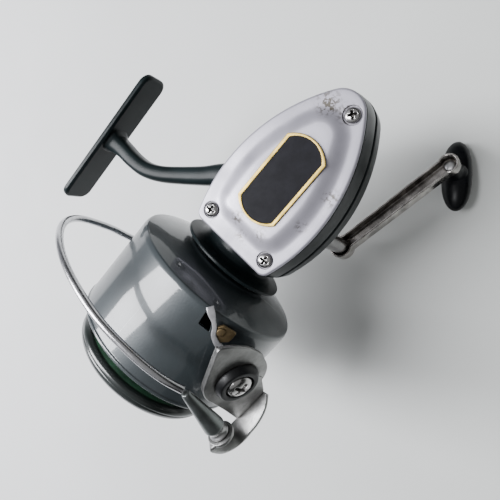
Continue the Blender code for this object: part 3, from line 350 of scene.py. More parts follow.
def surface(name, base, rough, metallic=0.0, coat=0.0, coat_rough=0.08, tone=0.12, tone_scale=70.0,
            smudge=0.06, streak=(1.0, 1.0, 1.0), scratches=0.3, scratch_colour=None, edge_wear_and_sheen=0.0,
            edge_wear_and_sheen_colour=(0.55, 0.56, 0.56), edge_wear_and_sheen_metal=0.8, dirt_and_shade=0.5, dirt_and_shade_colour=(0.02, 0.018, 0.015),
            grain=0.02, grain_scale=2600.0, edge=0.0004, spots=(), spot_colour=(0.16, 0.15, 0.13),
            lines=(), hollow_reach=0.0022, specular=0.5):
    """A finish with uneven tone, smudges, fine scratches, worn edges (a bright edge colour also paints a
    highlight), dirt and painted shade in corners, and grain.
    """
    g = Graph(name)
    soft = g.node("ShaderNodeBevel", samples=4)
    soft.inputs["Radius"].default_value = edge
    dark = tuple(c * (1.0 - tone) for c in base)
    light = tuple(min(1.0, c * (1.0 + tone)) for c in base)
    colour = g.mix(g.mapped(g.noise(tone_scale, 5.0), 0.35, 0.65), dark, light)
    roughness = g.math("ADD", rough - smudge / 2.0,
                       g.math("MULTIPLY", g.noise(tone_scale * 3.1, 4.0, streak, offset=3.0), smudge * 2.0))
    metal = metallic
    if scratches:
        patches = g.mapped(g.noise(55.0, 2.0, offset=7.0), 0.45, 0.62)
        fine = g.mapped(g.noise(150.0, 2.0, (1.0, 30.0, 30.0), (0.4, 0.5, 0.9), 1.0), 0.68, 0.70)
        cross = g.mapped(g.noise(130.0, 2.0, (30.0, 1.0, 30.0), (0.2, -0.6, 0.3), 5.0), 0.69, 0.71)
        mask = g.math("MULTIPLY", g.math("MAXIMUM", fine, cross), g.math("MULTIPLY", patches, scratches))
        colour = g.mix(mask, colour, scratch_colour or tuple(min(1.0, c * 1.7 + 0.04) for c in base))
        roughness = g.math("ADD", roughness, g.math("MULTIPLY", mask, 0.25))
    # Edge colour: real wear on most finishes; a bright edge colour, as on the trough, is a painted highlight
    # along the rims.
    if edge_wear_and_sheen:
        geometry = g.node("ShaderNodeNewGeometry")
        dot = g.node("ShaderNodeVectorMath", operation="DOT_PRODUCT")
        g.put(dot.inputs[0], soft.outputs["Normal"])
        g.put(dot.inputs[1], geometry.outputs["Normal"])
        edges = g.mapped(dot.outputs["Value"], 0.985, 0.90)
        broken = g.mapped(g.noise(420.0, 4.0, offset=2.0), 0.48, 0.60)
        mask = g.math("MULTIPLY", g.math("MULTIPLY", edges, broken), edge_wear_and_sheen, clamp=True)
        colour = g.mix(mask, colour, edge_wear_and_sheen_colour)
        metal = g.math("MAXIMUM", metallic, g.math("MULTIPLY", mask, edge_wear_and_sheen_metal))
    for centre, radius, strength in spots:
        near = g.spot(tuple(c * MM for c in centre), radius * MM)
        broken = g.mapped(g.noise(900.0, 6.0, offset=centre[0] * 0.01), 0.47, 0.58)
        colour = g.mix(g.math("MULTIPLY", g.math("MULTIPLY", near, broken), strength, clamp=True),
                       colour, spot_colour)
    for axis_turn, place, half, tint in lines:
        across = g.node("ShaderNodeVectorMath", operation="DOT_PRODUCT")
        g.put(across.inputs[0], g.coords)
        across.inputs[1].default_value = axis_turn
        wander = g.math("MULTIPLY", g.math("SUBTRACT", g.noise(60.0, 2.0), 0.5), 0.0012)
        gap = g.math("ABSOLUTE", g.math("SUBTRACT", g.math("ADD", across.outputs["Value"], wander),
                                        place * MM))
        thin = g.mapped(gap, 0.0, half * MM, 1.0, 0.0)
        thin = g.math("MULTIPLY", thin, g.mapped(g.noise(35.0, 1.0, offset=place), 0.5, 0.58))
        colour = g.mix(thin, colour, tint)
    # Dirt and painted shade: ambient occlusion darkens the colour in hollows, recesses and between parts,
    # where shade falls.
    if dirt_and_shade:
        corner = g.node("ShaderNodeAmbientOcclusion", samples=4)
        corner.inputs["Distance"].default_value = hollow_reach
        hollow = g.mapped(corner.outputs["AO"], 0.25, 0.85, dirt_and_shade, 0.0)
        hollow = g.math("MULTIPLY", hollow, g.mapped(g.noise(300.0, 3.0, offset=9.0), 0.3, 0.6, 0.5, 1.0))
        colour = g.mix(hollow, colour, dirt_and_shade_colour)
        roughness = g.math("ADD", roughness, g.math("MULTIPLY", hollow, 0.3), clamp=True)
    bump = g.node("ShaderNodeBump")
    bump.inputs["Strength"].default_value = grain
    bump.inputs["Distance"].default_value = 0.0002
    g.put(bump.inputs["Height"], g.noise(grain_scale, 3.0, streak))
    g.put(bump.inputs["Normal"], soft.outputs["Normal"])
    shader = g.shader.inputs
    g.put(shader["Base Color"], colour)
    g.put(shader["Roughness"], roughness)
    g.put(shader["Metallic"], metal)
    g.put(shader["Specular IOR Level"], specular)
    g.put(shader["Coat Weight"], coat)
    g.put(shader["Coat Roughness"], coat_rough)
    g.put(shader["Normal"], bump.outputs["Normal"])
    return g.mat


ENAMEL = surface("black_green_enamel", (0.0075, 0.0115, 0.0125), 0.27, tone=0.25, edge_wear_and_sheen=0.55,
                 edge_wear_and_sheen_colour=(0.10, 0.11, 0.11), dirt_and_shade=0.35, scratches=0.2, grain=0.06, specular=0.11)
GUNMETAL = surface("gunmetal_enamel", (0.030, 0.038, 0.042), 0.36, 0.25, 0.75, 0.07, tone=0.16,
                   tone_scale=45.0, smudge=0.10, edge_wear_and_sheen=0.5, edge_wear_and_sheen_colour=(0.20, 0.22, 0.22),
                   scratches=0.30, dirt_and_shade=0.6, grain=0.14, grain_scale=1500.0,
                   lines=(((0.0, 0.80, 0.60), 78.0, 0.10, (0.30, 0.33, 0.34)),))
SILVER = surface("silver_enamel", (0.365, 0.355, 0.405), 0.38, 0.62, 0.20, 0.20, tone=0.17, tone_scale=34.0,
                 smudge=0.20, edge_wear_and_sheen=1.0, edge_wear_and_sheen_colour=(0.20, 0.19, 0.18), edge_wear_and_sheen_metal=0.5, scratches=0.7,
                 scratch_colour=(0.26, 0.25, 0.26), dirt_and_shade=0.85, dirt_and_shade_colour=(0.07, 0.065, 0.06), grain=0.10,
                 spots=(((-66.8, 70.7, 19.0), 5.6, 1.8), ((-17.6, 72.4, 19.0), 3.4, 1.6),
                        ((-18.6, 82.5, 19.0), 3.6, 1.2), ((-43.8, 93.0, 19.0), 4.0, 1.3),
                        ((-68.0, 78.0, 19.0), 4.6, 1.4), ((-30.0, 91.5, 19.0), 3.0, 1.0),
                        ((-13.0, 77.0, 19.0), 3.0, 1.1)),
                 spot_colour=(0.10, 0.09, 0.075))
FIELD = surface("badge_field", (0.008, 0.008, 0.0105), 0.55, tone=0.2, tone_scale=260.0,
                scratches=0.0, dirt_and_shade=0.5, grain=0.12, specular=0.10)
# Dirt and painted shade: full-strength occlusion darkening draws a dark line where the raised gold border
# meets the field and the plate.
GOLD = surface("badge_gold", (0.50, 0.36, 0.095), 0.42, 0.9, tone=0.30, tone_scale=240.0,
               edge_wear_and_sheen=0.6, edge_wear_and_sheen_colour=(0.50, 0.42, 0.26), dirt_and_shade=1.0, dirt_and_shade_colour=(0.03, 0.02, 0.01),
               scratches=0.5, grain=0.05, hollow_reach=0.0012)
# Painted shade: strong, near-black occlusion darkening fills the screws' cross recesses and other hollows,
# along with some dirt.
CHROME = surface("worn_chrome", (0.50, 0.49, 0.485), 0.14, 1.0, tone=0.14, tone_scale=160.0, smudge=0.12,
                 scratches=0.35, scratch_colour=(0.22, 0.21, 0.20), dirt_and_shade=0.95,
                 dirt_and_shade_colour=(0.030, 0.024, 0.018), grain=0.04)
# Trough: the near-white edge colour paints a highlight along the rims, and the long-reaching occlusion
# darkening paints shade inside the trough.
TROUGH = surface("trough_chrome", (0.50, 0.475, 0.45), 0.15, 1.0, tone=0.40, tone_scale=200.0, smudge=0.10,
                 streak=(0.25, 3.0, 3.0), scratches=0.5, scratch_colour=(0.10, 0.095, 0.085), dirt_and_shade=1.0,
                 dirt_and_shade_colour=(0.030, 0.020, 0.013), grain=0.04, hollow_reach=0.0075, edge_wear_and_sheen=1.0,
                 edge_wear_and_sheen_colour=(0.86, 0.85, 0.84))
CHROME_ARM = surface("satin_chrome", (0.26, 0.26, 0.255), 0.30, 1.0, tone=0.18, tone_scale=220.0,
                     smudge=0.22, streak=(1.0, 5.0, 1.0), scratches=0.7,
                     scratch_colour=(0.18, 0.18, 0.175), dirt_and_shade=1.0, dirt_and_shade_colour=(0.035, 0.033, 0.028),
                     grain=0.14, grain_scale=1500.0, edge_wear_and_sheen=0.8, edge_wear_and_sheen_colour=(0.70, 0.70, 0.71))
STRIP = surface("bright_strip", (0.58, 0.58, 0.60), 0.30, 0.75, 0.3, 0.1, tone=0.20, tone_scale=260.0,
                scratches=0.5, scratch_colour=(0.35, 0.34, 0.34), dirt_and_shade=0.7, grain=0.06)
CONE_GREY = surface("cone_satin", (0.155, 0.168, 0.165), 0.26, 0.9, 0.2, 0.1, tone=0.20, tone_scale=120.0,
                    smudge=0.14, scratches=0.4, scratch_colour=(0.34, 0.35, 0.35), dirt_and_shade=0.7, grain=0.06)
WIRE = surface("wire_chrome", (0.52, 0.52, 0.535), 0.17, 1.0, tone=0.16, tone_scale=120.0, smudge=0.14,
               scratches=0.5, scratch_colour=(0.22, 0.22, 0.22), dirt_and_shade=0.5, grain=0.05)
STEEL = surface("turned_steel", (0.44, 0.44, 0.44), 0.30, 1.0, tone=0.14, smudge=0.12,
                streak=(8.0, 1.0, 1.0), dirt_and_shade=0.8, dirt_and_shade_colour=(0.05, 0.045, 0.035), grain=0.06)
BRASS = surface("brass", (0.25, 0.185, 0.10), 0.42, 1.0, tone=0.28, smudge=0.2, dirt_and_shade=0.9,
                dirt_and_shade_colour=(0.05, 0.035, 0.015), grain=0.08)
BRONZE = surface("bronze", (0.42, 0.28, 0.14), 0.38, 0.9, tone=0.25, tone_scale=300.0, smudge=0.2,
                 dirt_and_shade=0.8, dirt_and_shade_colour=(0.06, 0.04, 0.02), grain=0.15)
ZINC = surface("cast_zinc", (0.45, 0.45, 0.46), 0.46, 0.85, tone=0.16, tone_scale=220.0, dirt_and_shade=0.8,
               grain=0.25, grain_scale=1400.0)
RUBBER_BLACK = surface("black_plastic", (0.004, 0.0043, 0.005), 0.36, 0.0, 0.05, 0.2, tone=0.3,
                       tone_scale=200.0, smudge=0.14, scratches=0.3, edge_wear_and_sheen=0.3,
                       edge_wear_and_sheen_colour=(0.045, 0.045, 0.05), edge_wear_and_sheen_metal=0.0, dirt_and_shade=0.2,
                       dirt_and_shade_colour=(0.03, 0.03, 0.03), grain=0.08, specular=0.25)
KNOB_BLACK = surface("knob_plastic", (0.003, 0.0035, 0.0045), 0.24, tone=0.3,
                     tone_scale=90.0, smudge=0.14, scratches=0.3, edge_wear_and_sheen=0.2,
                     edge_wear_and_sheen_colour=(0.04, 0.04, 0.045), edge_wear_and_sheen_metal=0.0, dirt_and_shade=0.2,
                     dirt_and_shade_colour=(0.03, 0.03, 0.03), grain=0.05, specular=0.16)
SPOOL_DARK = surface("spool_enamel", (0.009, 0.013, 0.012), 0.32, 0.2, 0.6, 0.14, tone=0.25, edge_wear_and_sheen=0.9,
                     edge_wear_and_sheen_colour=(0.26, 0.28, 0.26), dirt_and_shade=0.5, scratches=0.5, grain=0.05)
FELT = surface("felt", (0.27, 0.21, 0.15), 0.95, tone=0.3, tone_scale=500.0, scratches=0.0, dirt_and_shade=0.3,
               grain=1.0, grain_scale=2200.0)


def nylon_line():
    """Green monofilament: slightly clear, with a soft gloss."""
    mat = surface("nylon_line", (0.16, 0.42, 0.24), 0.32, 0.0, 0.3, 0.2, tone=0.35, tone_scale=130.0,
                  scratches=0.6, scratch_colour=(0.42, 0.66, 0.48), dirt_and_shade=0.9,
                  dirt_and_shade_colour=(0.02, 0.07, 0.035), grain=0.1)
    shader = mat.node_tree.nodes["Principled BSDF"].inputs
    shader["Subsurface Weight"].default_value = 0.25
    shader["Subsurface Radius"].default_value = (0.2, 0.6, 0.3)
    shader["Subsurface Scale"].default_value = 0.0006
    return mat


NYLON = nylon_line()


# --- Gearcase
CASE_TOP = 16.2
PLATE_LOW = 16.5
PLATE_TOP = 18.2
DOME_TOP = 20.7
SEAT = -SEAT_TO_AXIS
LEVER_SPOT = at(-48.0, -3.0)
PLATE_SCREWS = {"rear": (-61.6, 3.6), "upper": (-5.4, -13.6), "lower": (-5.4, 13.6)}


def teardrop(front, corner, half_width, side_radius, widest, nose, offset=0.0):
    """Case outline: a straight front edge, rounded corners, bowed sides and a round nose."""
    drop = side_radius - half_width
    reach = nose - widest
    nose_radius = (side_radius ** 2 - drop ** 2 - reach ** 2) / (2.0 * (reach + side_radius))
    corner_x = front - corner
    corner_y = -drop + math.sqrt((side_radius - corner) ** 2 - (corner_x - widest) ** 2)
    corner_turn = math.atan2(corner_y + drop, corner_x - widest)
    nose_centre = (nose + nose_radius, 0.0)
    nose_turn = math.atan2(drop, nose_centre[0] - widest)
    half = arc((corner_x, corner_y), corner + offset, 0.0, corner_turn, 10)
    half += arc((widest, -drop), side_radius + offset, corner_turn, nose_turn, 30)[1:]
    half += arc(nose_centre, nose_radius + offset, nose_turn, math.pi, 16)[1:]
    return half + [(x, -y) for x, y in reversed(half[:-1])]


def case_outline(offset=0.0):
    """Outline shared by the gearcase rim and the side plate."""
    return teardrop(0.0, 3.5, 21.1, 67.0, -23.3, -68.0, offset)


def dome_outline(offset=0.0):
    """Outline of the side plate's raised dome."""
    return teardrop(-6.2, 8.5, 16.6, 62.0, -24.0, -59.5, offset)


def stem_form():
    """The bent stem, a rounded bar that swells into the case and the foot."""
    stations = spline([
        (-19.0, -17.0, 14.6, 16.0), (-16.6, -21.6, 11.0, 13.0), (-13.2, -26.4, 8.8, 11.0),
        (-9.0, -31.0, 7.8, 10.0), (-2.5, -39.0, 7.2, 9.2), (3.0, -46.5, 6.9, 8.8),
        (6.2, -53.5, 6.8, 8.7), (7.0, -60.5, 6.8, 8.7), (6.8, -66.5, 7.0, 9.0),
        (7.0, -70.9, 8.2, 10.0), (7.0, -72.6, 10.0, 11.0), (7.0, -73.9, 12.4, 12.0),
    ], 6)
    rings = []
    steps = 40
    for i, (x, y, width, depth) in enumerate(stations):
        before = Vector(stations[max(i - 1, 0)][:2])
        after = Vector(stations[min(i + 1, len(stations) - 1)][:2])
        along = (after - before).normalized()
        side = Vector((-along.y, along.x, 0.0))
        ring = []
        for k in range(steps):
            c, s = math.cos(math.tau * k / steps), math.sin(math.tau * k / steps)
            u = math.copysign(abs(c) ** 0.62, c) * width / 2.0
            v = math.copysign(abs(s) ** 0.62, s) * depth / 2.0
            ring.append(tuple(Vector((x, y, 0.0)) + side * u + Vector((0.0, 0.0, v))))
        rings.append(ring)
    return skin(rings)


def foot_form():
    """The flat foot: a slim bar with round corners and softened edges."""
    def outline(inset):
        points = []
        for sx, sz, start in ((1, 1, 0.0), (-1, 1, 90.0), (-1, -1, 180.0), (1, -1, 270.0)):
            turn = math.radians(start)
            points += arc((sx * 27.4, sz * 3.4), 4.6 - inset, turn, turn + math.pi / 2.0, 10)
        return points

    levels = rounded([(SEAT, 0.7), (SEAT + 0.35, 0.05), (SEAT + 2.0, 0.0), (SEAT + 2.7, 1.1)], 0.4, 4, False)
    levels.append((SEAT + 2.7, 2.4))
    return skin([[(7.0 + px, y, pz) for px, pz in outline(inset)] for y, inset in levels])


def rod(low, high, radius, axis="Z", segments=32, place=None):
    """A plain rod that adds to or cuts another form."""
    bm = turned([(low, 0.0), (low, radius), (high, radius), (high, 0.0)], segments, axis)
    return moved(bm, place) if place else bm


def gear_housing():
    """One casting: hollow case, neck and flange, crank boss, stem and foot."""
    outer = [(-19.0, -6.0), (-18.6, -2.6), (-15.5, 1.8), (-10.0, 2.7), (1.5, 2.3), (2.2, 1.2), (3.6, 1.1),
             (4.3, 1.9), (11.0, 1.1), (CASE_TOP - 0.1, 0.2)]
    case = skin([at_height(case_outline(off), z) for z, off in rounded(outer, 1.1, 4, False, 172.0)])
    inner = [(-17.1, -3.0), (-15.0, -0.8), (-10.0, 0.3), (3.0, -0.9), (CASE_TOP + 2.0, -1.9)]
    neck = [(-0.8, 0.0), (-0.8, 14.5), (2.6, 14.5), (4.2, 15.3), (5.3, 17.2), (5.9, 20.2), (6.0, 22.0),
            (7.3, 22.0), (7.3, 0.0)]
    boss = [(-14.0, 0.0), (-14.0, 11.4), (-17.5, 10.4), (-20.5, 8.6), (-24.0, 7.7), (-31.0, 7.2),
            (-31.6, 6.6), (-31.6, 0.0)]
    steps = [(ADD, turned(rounded(neck, 0.5, 3, False, 170.0), 96)),
             (ADD, moved(turned(rounded(boss, 0.5, 3, False, 170.0), 64, "Z"), CRANK_LOCAL)),
             (ADD, stem_form()), (ADD, foot_form()),
             (CUT, skin([at_height(case_outline(off), z) for z, off in inner])),
             (ADD, rod(-20.0, -13.4, 7.6, place=CRANK_LOCAL))]
    for key, (x, y) in PLATE_SCREWS.items():
        low = -17.7 if key == "rear" else 2.6
        steps.append((ADD, rod(low, CASE_TOP - 0.2, 4.3, place=at(x, y))))
    steps += [(CUT, rod(-7.0, 9.0, 6.6, "X", 64)),
              (CUT, rod(-33.0, -11.5, 4.6, segments=46, place=CRANK_LOCAL @ Matrix.Rotation(0.05, 4, "Z"))),
              (CUT, rod(-25.0, -14.0, 2.1, place=LEVER_SPOT))]
    for x, y in PLATE_SCREWS.values():
        steps.append((CUT, rod(5.0, 18.0, 1.6, segments=20, place=at(x, y))))
    piece("housing_casting", boolean(case, steps), REEL, ENAMEL, "frame", ["gear_housing"])


def side_plate():
    """Pressed cover: a flat flange, a soft groove and a broad dome, thin all over."""
    rings = [at_height(dome_outline(-5.2), DOME_TOP - 1.7), at_height(dome_outline(-4.2), DOME_TOP - 1.8),
             at_height(dome_outline(-1.9), PLATE_LOW + 0.6), at_height(dome_outline(-1.3), PLATE_LOW)]
    rim = rounded([(-2.6, PLATE_LOW), (0.05, PLATE_LOW), (0.1, PLATE_TOP - 0.5), (-0.5, PLATE_TOP),
                   (-2.4, PLATE_TOP)], 0.35, 4, False)
    rings += [at_height(case_outline(off), z) for off, z in rim]
    steps = 14
    for i in range(steps + 1):
        t = i / steps
        rise = t * t * (3.0 - 2.0 * t)
        rings.append(at_height(dome_outline(0.9 - 6.6 * t), PLATE_TOP - 0.06 * math.sin(math.pi * t)
                               + (DOME_TOP - PLATE_TOP) * rise))
    centre = Vector((-31.0, 0.0))
    for scale, rise in ((0.9, 0.05), (0.7, 0.12), (0.45, 0.17), (0.2, 0.2)):
        rings.append([(centre.x + (x - centre.x) * scale, y * scale, DOME_TOP + rise)
                      for x, y in dome_outline(-5.7)])
    steps = []
    for key, (x, y) in PLATE_SCREWS.items():
        seat = 3.35 if key == "rear" else 3.1
        hole = turned([(PLATE_LOW - 1.0, 0.0), (PLATE_LOW - 1.0, 1.7), (PLATE_TOP - 0.5, 1.7),
                       (PLATE_TOP - 0.5, seat), (PLATE_TOP + 0.6, seat + 0.15), (DOME_TOP + 1.0, seat + 1.1),
                       (DOME_TOP + 1.0, 0.0)], 48, "Z")
        steps.append((CUT, moved(hole, at(x, y))))
    piece("plate_cover", boolean(skin(rings), steps), REEL, SILVER, "frame", ["side_plate"])


def badge_outline(inset):
    """A badge outline with straight sides and bowed ends."""
    half = 8.7 - inset
    bow = 4.0 - inset * 0.2
    radius = (half ** 2 + bow ** 2) / (2.0 * bow)
    reach = 13.3 - inset * 0.4
    turn = math.asin(half / radius)
    front = arc((-30.4 + reach + bow - radius, 0.0), radius, -turn, turn, 24)
    return front + [(-60.8 - x, -y) for x, y in front]


def badge():
    """The plain badge: a dark field inside a raised gold border."""
    low = DOME_TOP + 0.3
    field = [at_height(badge_outline(0.25), low), at_height(badge_outline(0.25), low + 0.35),
             at_height(badge_outline(2.2), low + 0.42), at_height(badge_outline(4.5), low + 0.46)]
    piece("badge_plate", skin(field), REEL, FIELD, "frame", ["name_badge"])
    section = rounded([(0.0, low), (0.0, low + 0.66), (1.25, low + 0.66), (1.4, low + 0.2)], 0.16, 4)
    border = skin([at_height(badge_outline(inset), z) for inset, z in section], looped=True)
    piece("badge_border", border, REEL, GOLD, "frame")


def screw(name, head, shank, length, place, body):
    """A pan-head screw with a tapered cross recess, in place of its CAD node."""
    height = head * 0.52
    profile = [(-length, 0.0), (-length, shank * 0.6), (-length + shank * 0.5, shank), (0.0, shank),
               (0.0, head), (height * 0.45, head * 0.97), (height * 0.8, head * 0.72),
               (height * 0.95, head * 0.4), (height, 0.0)]
    solid = turned(rounded(profile, head * 0.12, 3, False, 175.0), 56, "Z")
    steps = []
    for turn in (0.0, 90.0):
        rings = []
        for z, reach, width in ((height * -0.5, 0.26, 0.08), (height * 0.4, 0.50, 0.12),
                                (height * 1.2, 0.74, 0.19)):
            corners = rounded([(-head * reach, -head * width), (head * reach, -head * width),
                               (head * reach, head * width), (-head * reach, head * width)],
                              head * 0.08, 3)
            rings.append(at_height(corners, z))
        steps.append((CUT, moved(skin(rings), spun(turn, "Z"))))
    piece(f"{name}_detail", boolean(solid, steps), place, CHROME, body, [name])


# --- Crank
ARM_LENGTH = 61.1
ARM_TOP = -61.8                     # the trough's open edge, along the crank axis
ARM_FLOOR = ARM_TOP - 5.4           # the trough's outside
HUB_STEP = ARM_FLOOR + 8.5
KNOB_LEVEL = ARM_FLOOR - 12.2       # the knob's long axis
PIN_END = KNOB_LEVEL - 4.8
ARM_PLACE = Matrix.Rotation(math.pi - math.radians(10.6), 4, "Z")
ARM_END = at(ARM_LENGTH)
KNOB_PLACE = ARM_PLACE @ ARM_END @ spun(-127.0, "Z")


def arm_outline(wall):
    """Outline of the crank arm, from the hub at x = 0 to the knob end."""
    hub, end, half = 5.7 - wall, 4.7 - wall, 3.9 - wall
    hub_turn, end_turn = math.asin(half / hub), math.asin(half / end)
    points = arc((0.0, 0.0), hub, hub_turn, math.tau - hub_turn, 40)
    points += arc((ARM_LENGTH, 0.0), end, -math.pi + end_turn, math.pi - end_turn, 36)
    return rounded(points, 1.6, 4)


def crank():
    """Pressed trough arm with its hub, screw, knob pin and oval knob."""
    section = rounded([(1.6, ARM_FLOOR), (0.0, ARM_FLOOR), (0.0, ARM_TOP), (1.1, ARM_TOP),
                       (1.3, ARM_FLOOR + 1.3), (2.4, ARM_FLOOR + 1.3)], 0.9, 5, False)
    arm = skin([at_height(arm_outline(inset), z) for inset, z in section])
    low, high = ARM_FLOOR - 4.6, ARM_FLOOR + 3.4
    arm = boolean(arm, [(CUT, rod(low, high, 1.9, place=ARM_END)), (CUT, rod(low, high, 2.1))])
    piece("crank_trough", arm, CRANK @ ARM_PLACE, TROUGH, "crank", ["crank_arm"])

    hub = [(-32.1, 3.1), (-32.1, 5.4), (-32.8, 5.8), (-35.4, 5.8), (-36.2, 4.6), (HUB_STEP, 4.0),
           (ARM_FLOOR + 1.7, 4.0), (ARM_FLOOR + 1.7, 2.3), (HUB_STEP, 2.3), (HUB_STEP, 3.1)]
    piece("hub_collar", turned(hub, 64, "Z", True, 0.35), CRANK, CHROME, "crank", ["crank_hub"])
    screw("crank_arm_screw", 4.2, 1.7, 7.6,
          CRANK @ at(z=ARM_FLOOR - 0.3) @ spun(180.0, "X"), "crank")
    head = ARM_FLOOR + 1.6
    pin = [(head + 1.0, 0.0), (head + 0.95, 1.4), (head + 0.6, 2.3), (head, 2.7), (head, 1.6),
           (PIN_END, 1.6), (PIN_END, 2.9), (PIN_END - 0.8, 2.5), (PIN_END - 1.0, 0.0)]
    piece("knob_rivet", turned(rounded(pin, 0.25, 3, False), 40, "Z"),
          CRANK @ ARM_PLACE @ ARM_END, STEEL, "crank", ["knob_pin"])

    steps, sides, half = 56, 44, 17.2
    rings = []
    for i in range(1, steps):
        along = -math.cos(math.pi * i / steps)
        full = (1.0 - abs(along) ** 2.5) ** 0.5
        rings.append([(half * along, 6.85 * full * math.copysign(abs(math.cos(a)) ** 0.92, math.cos(a)),
                       KNOB_LEVEL + 5.85 * full * math.sin(a))
                      for a in (math.tau * k / sides for k in range(sides))])
    neck = [(ARM_FLOOR - drop, radius) for drop, radius in
            ((0.6, 0.0), (0.6, 3.6), (3.1, 3.8), (6.1, 4.4), (8.2, 5.6), (10.6, 5.8), (10.6, 0.0))]
    knob = boolean(skin(rings), [(ADD, turned(rounded(neck, 0.8, 4, False, 172.0), 48, "Z")),
                                 (CUT, rod(PIN_END + 0.4, ARM_TOP, 1.95)),
                                 (CUT, rod(PIN_END - 7.6, PIN_END + 0.4, 3.3))])
    piece("knob_grip", knob, CRANK @ KNOB_PLACE, KNOB_BLACK, "knob", ["handle_knob"])


def reverse_lever():
    """Thumb lever of the anti-reverse under the case, with a ribbed tip."""
    low = -19.3
    stalk = turned(rounded([(low - 2.2, 0.0), (low - 2.2, 3.4), (low, 3.4), (low, 1.8), (-13.4, 1.8),
                            (-13.4, 0.0)], 0.3, 3, False), 40, "Z")
    thumb = bevelled(prism([(-0.4, -1.8), (-10.9, -1.6), (-11.4, 0.0), (-10.9, 1.6), (-0.4, 1.8)],
                           low - 2.1, low - 0.3), 0.3)
    steps = [(ADD, thumb)]
    for i in range(4):
        rib = prism([(-10.6 + 1.3 * i, -3.0), (-10.1 + 1.3 * i, -3.0), (-10.1 + 1.3 * i, 3.0),
                     (-10.6 + 1.3 * i, 3.0)], low - 3.0, low - 1.85)
        steps.append((CUT, rib))
    piece("reverse_thumb", boolean(stalk, steps), REEL @ LEVER_SPOT, CHROME,
          "reverse_lever", ["anti_reverse_lever"])


# --- Rotor
TRIP_PLACE = at(19.6) @ spun(25.5, "X")


def rotor():
    """Rotor cup: stepped rear, soft shoulder, thin rolled rim, trip slot and bail bosses."""
    outer = [(8.4, 5.2), (8.4, 11.0), (9.4, 12.0), (9.4, 18.5), (10.2, 19.5), (12.6, 27.0), (14.0, 32.0),
             (14.6, 33.4), (15.2, 35.4), (17.0, 36.0), (53.4, 36.2), (53.8, 36.6), (55.0, 36.6)]
    inner = [(55.0, 34.5), (19.4, 34.2), (17.0, 32.0), (14.6, 24.0), (14.0, 9.0), (19.4, 8.0), (19.4, 5.2)]
    cup = turned(rounded(outer + inner, 0.55, 4, True, 172.0), 144, looped=True)
    steps = []
    for sign in (1.0, -1.0):
        profile = rounded([(sign * 35.0, 0.0), (sign * 35.0, 7.4), (sign * 36.6, 6.8), (sign * 39.0, 6.2),
                           (sign * 39.0, 0.0)], 0.5, 4, False)
        steps.append((ADD, moved(turned(profile, 48, "Y"), BAIL_IN_ROTOR)))
    post = rod(29.4, 35.2, 1.9, "Y", 24, BAIL_IN_ROTOR @ at(-9.0))
    slot = prism(rounded([(17.3, -2.9), (22.6, -2.2), (22.9, 2.7), (17.8, 0.6)], 0.5, 4), 29.0, 43.0)
    steps += [(ADD, post),
              (CUT, moved(slot, spun(33.5 - 90.0, "X"))),
              (CUT, rod(30.0, 42.0, 1.3, "Y", 24, TRIP_PLACE)),
              (CUT, rod(-45.0, 45.0, 1.9, "Y", 32, BAIL_IN_ROTOR))]
    piece("rotor_shell", boolean(cup, steps), ROTOR, GUNMETAL, "rotor", ["rotor_cup"])


def trip_lever():
    """Trip lever: a narrow bent strip beside the slot, the brass pad it is fixed to, and the rivet."""
    # rows: x, angle round the rotor, radius, lean of the normal along x, width
    rows = spline([(14.9, 38.4, 36.6, -0.5, 2.6), (16.3, 35.4, 37.4, -0.3, 2.6),
                   (17.8, 32.2, 37.9, -0.1, 1.6), (19.6, 29.6, 38.1, 0.0, 1.6),
                   (21.8, 27.6, 38.2, 0.0, 1.8), (23.6, 23.8, 38.3, 0.0, 2.1),
                   (24.4, 20.2, 38.3, 0.0, 2.4)], 7)
    turns = [math.radians(row[1]) for row in rows]
    points = [Vector((x, r * math.cos(turn), r * math.sin(turn)))
              for (x, _, r, _, _), turn in zip(rows, turns)]
    stations = []
    for i, ((_, _, _, lean, width), turn) in enumerate(zip(rows, turns)):
        along = (points[min(i + 1, len(rows) - 1)] - points[max(i - 1, 0)]).normalized()
        normal = Vector((lean, math.cos(turn), math.sin(turn)))
        normal = (normal - along * normal.dot(along)).normalized()
        stations.append((points[i], along.cross(normal), normal, width, 1.2))
    piece("trip_finger", sweep(stations, 0.3), ROTOR, STRIP, "trip_lever", ["bail_trip_lever"])
    pad = rounded([(-2.6, 4.8), (1.6, 4.8), (4.4, 1.0), (3.2, -0.8), (-1.0, -2.0), (-2.6, -0.8)], 0.5, 3)
    pad = boolean(prism(pad, 37.0, 38.2), [(CUT, rod(35.0, 40.0, 1.3, segments=24))])
    upright = TRIP_PLACE @ spun(-90.0, "X")
    piece("trip_pad", bevelled(pad, 0.25), ROTOR @ upright, BRASS, "trip_lever")
    rivet = [(33.0, 0.0), (33.0, 1.0), (38.4, 1.0), (38.4, 1.6), (38.6, 1.55), (38.7, 1.0), (38.72, 0.0)]
    piece("trip_rivet_head", turned(rounded(rivet, 0.2, 3, False), 32, "Y"), ROTOR @ TRIP_PLACE, BRASS,
          "rotor", ["trip_lever_rivet"])


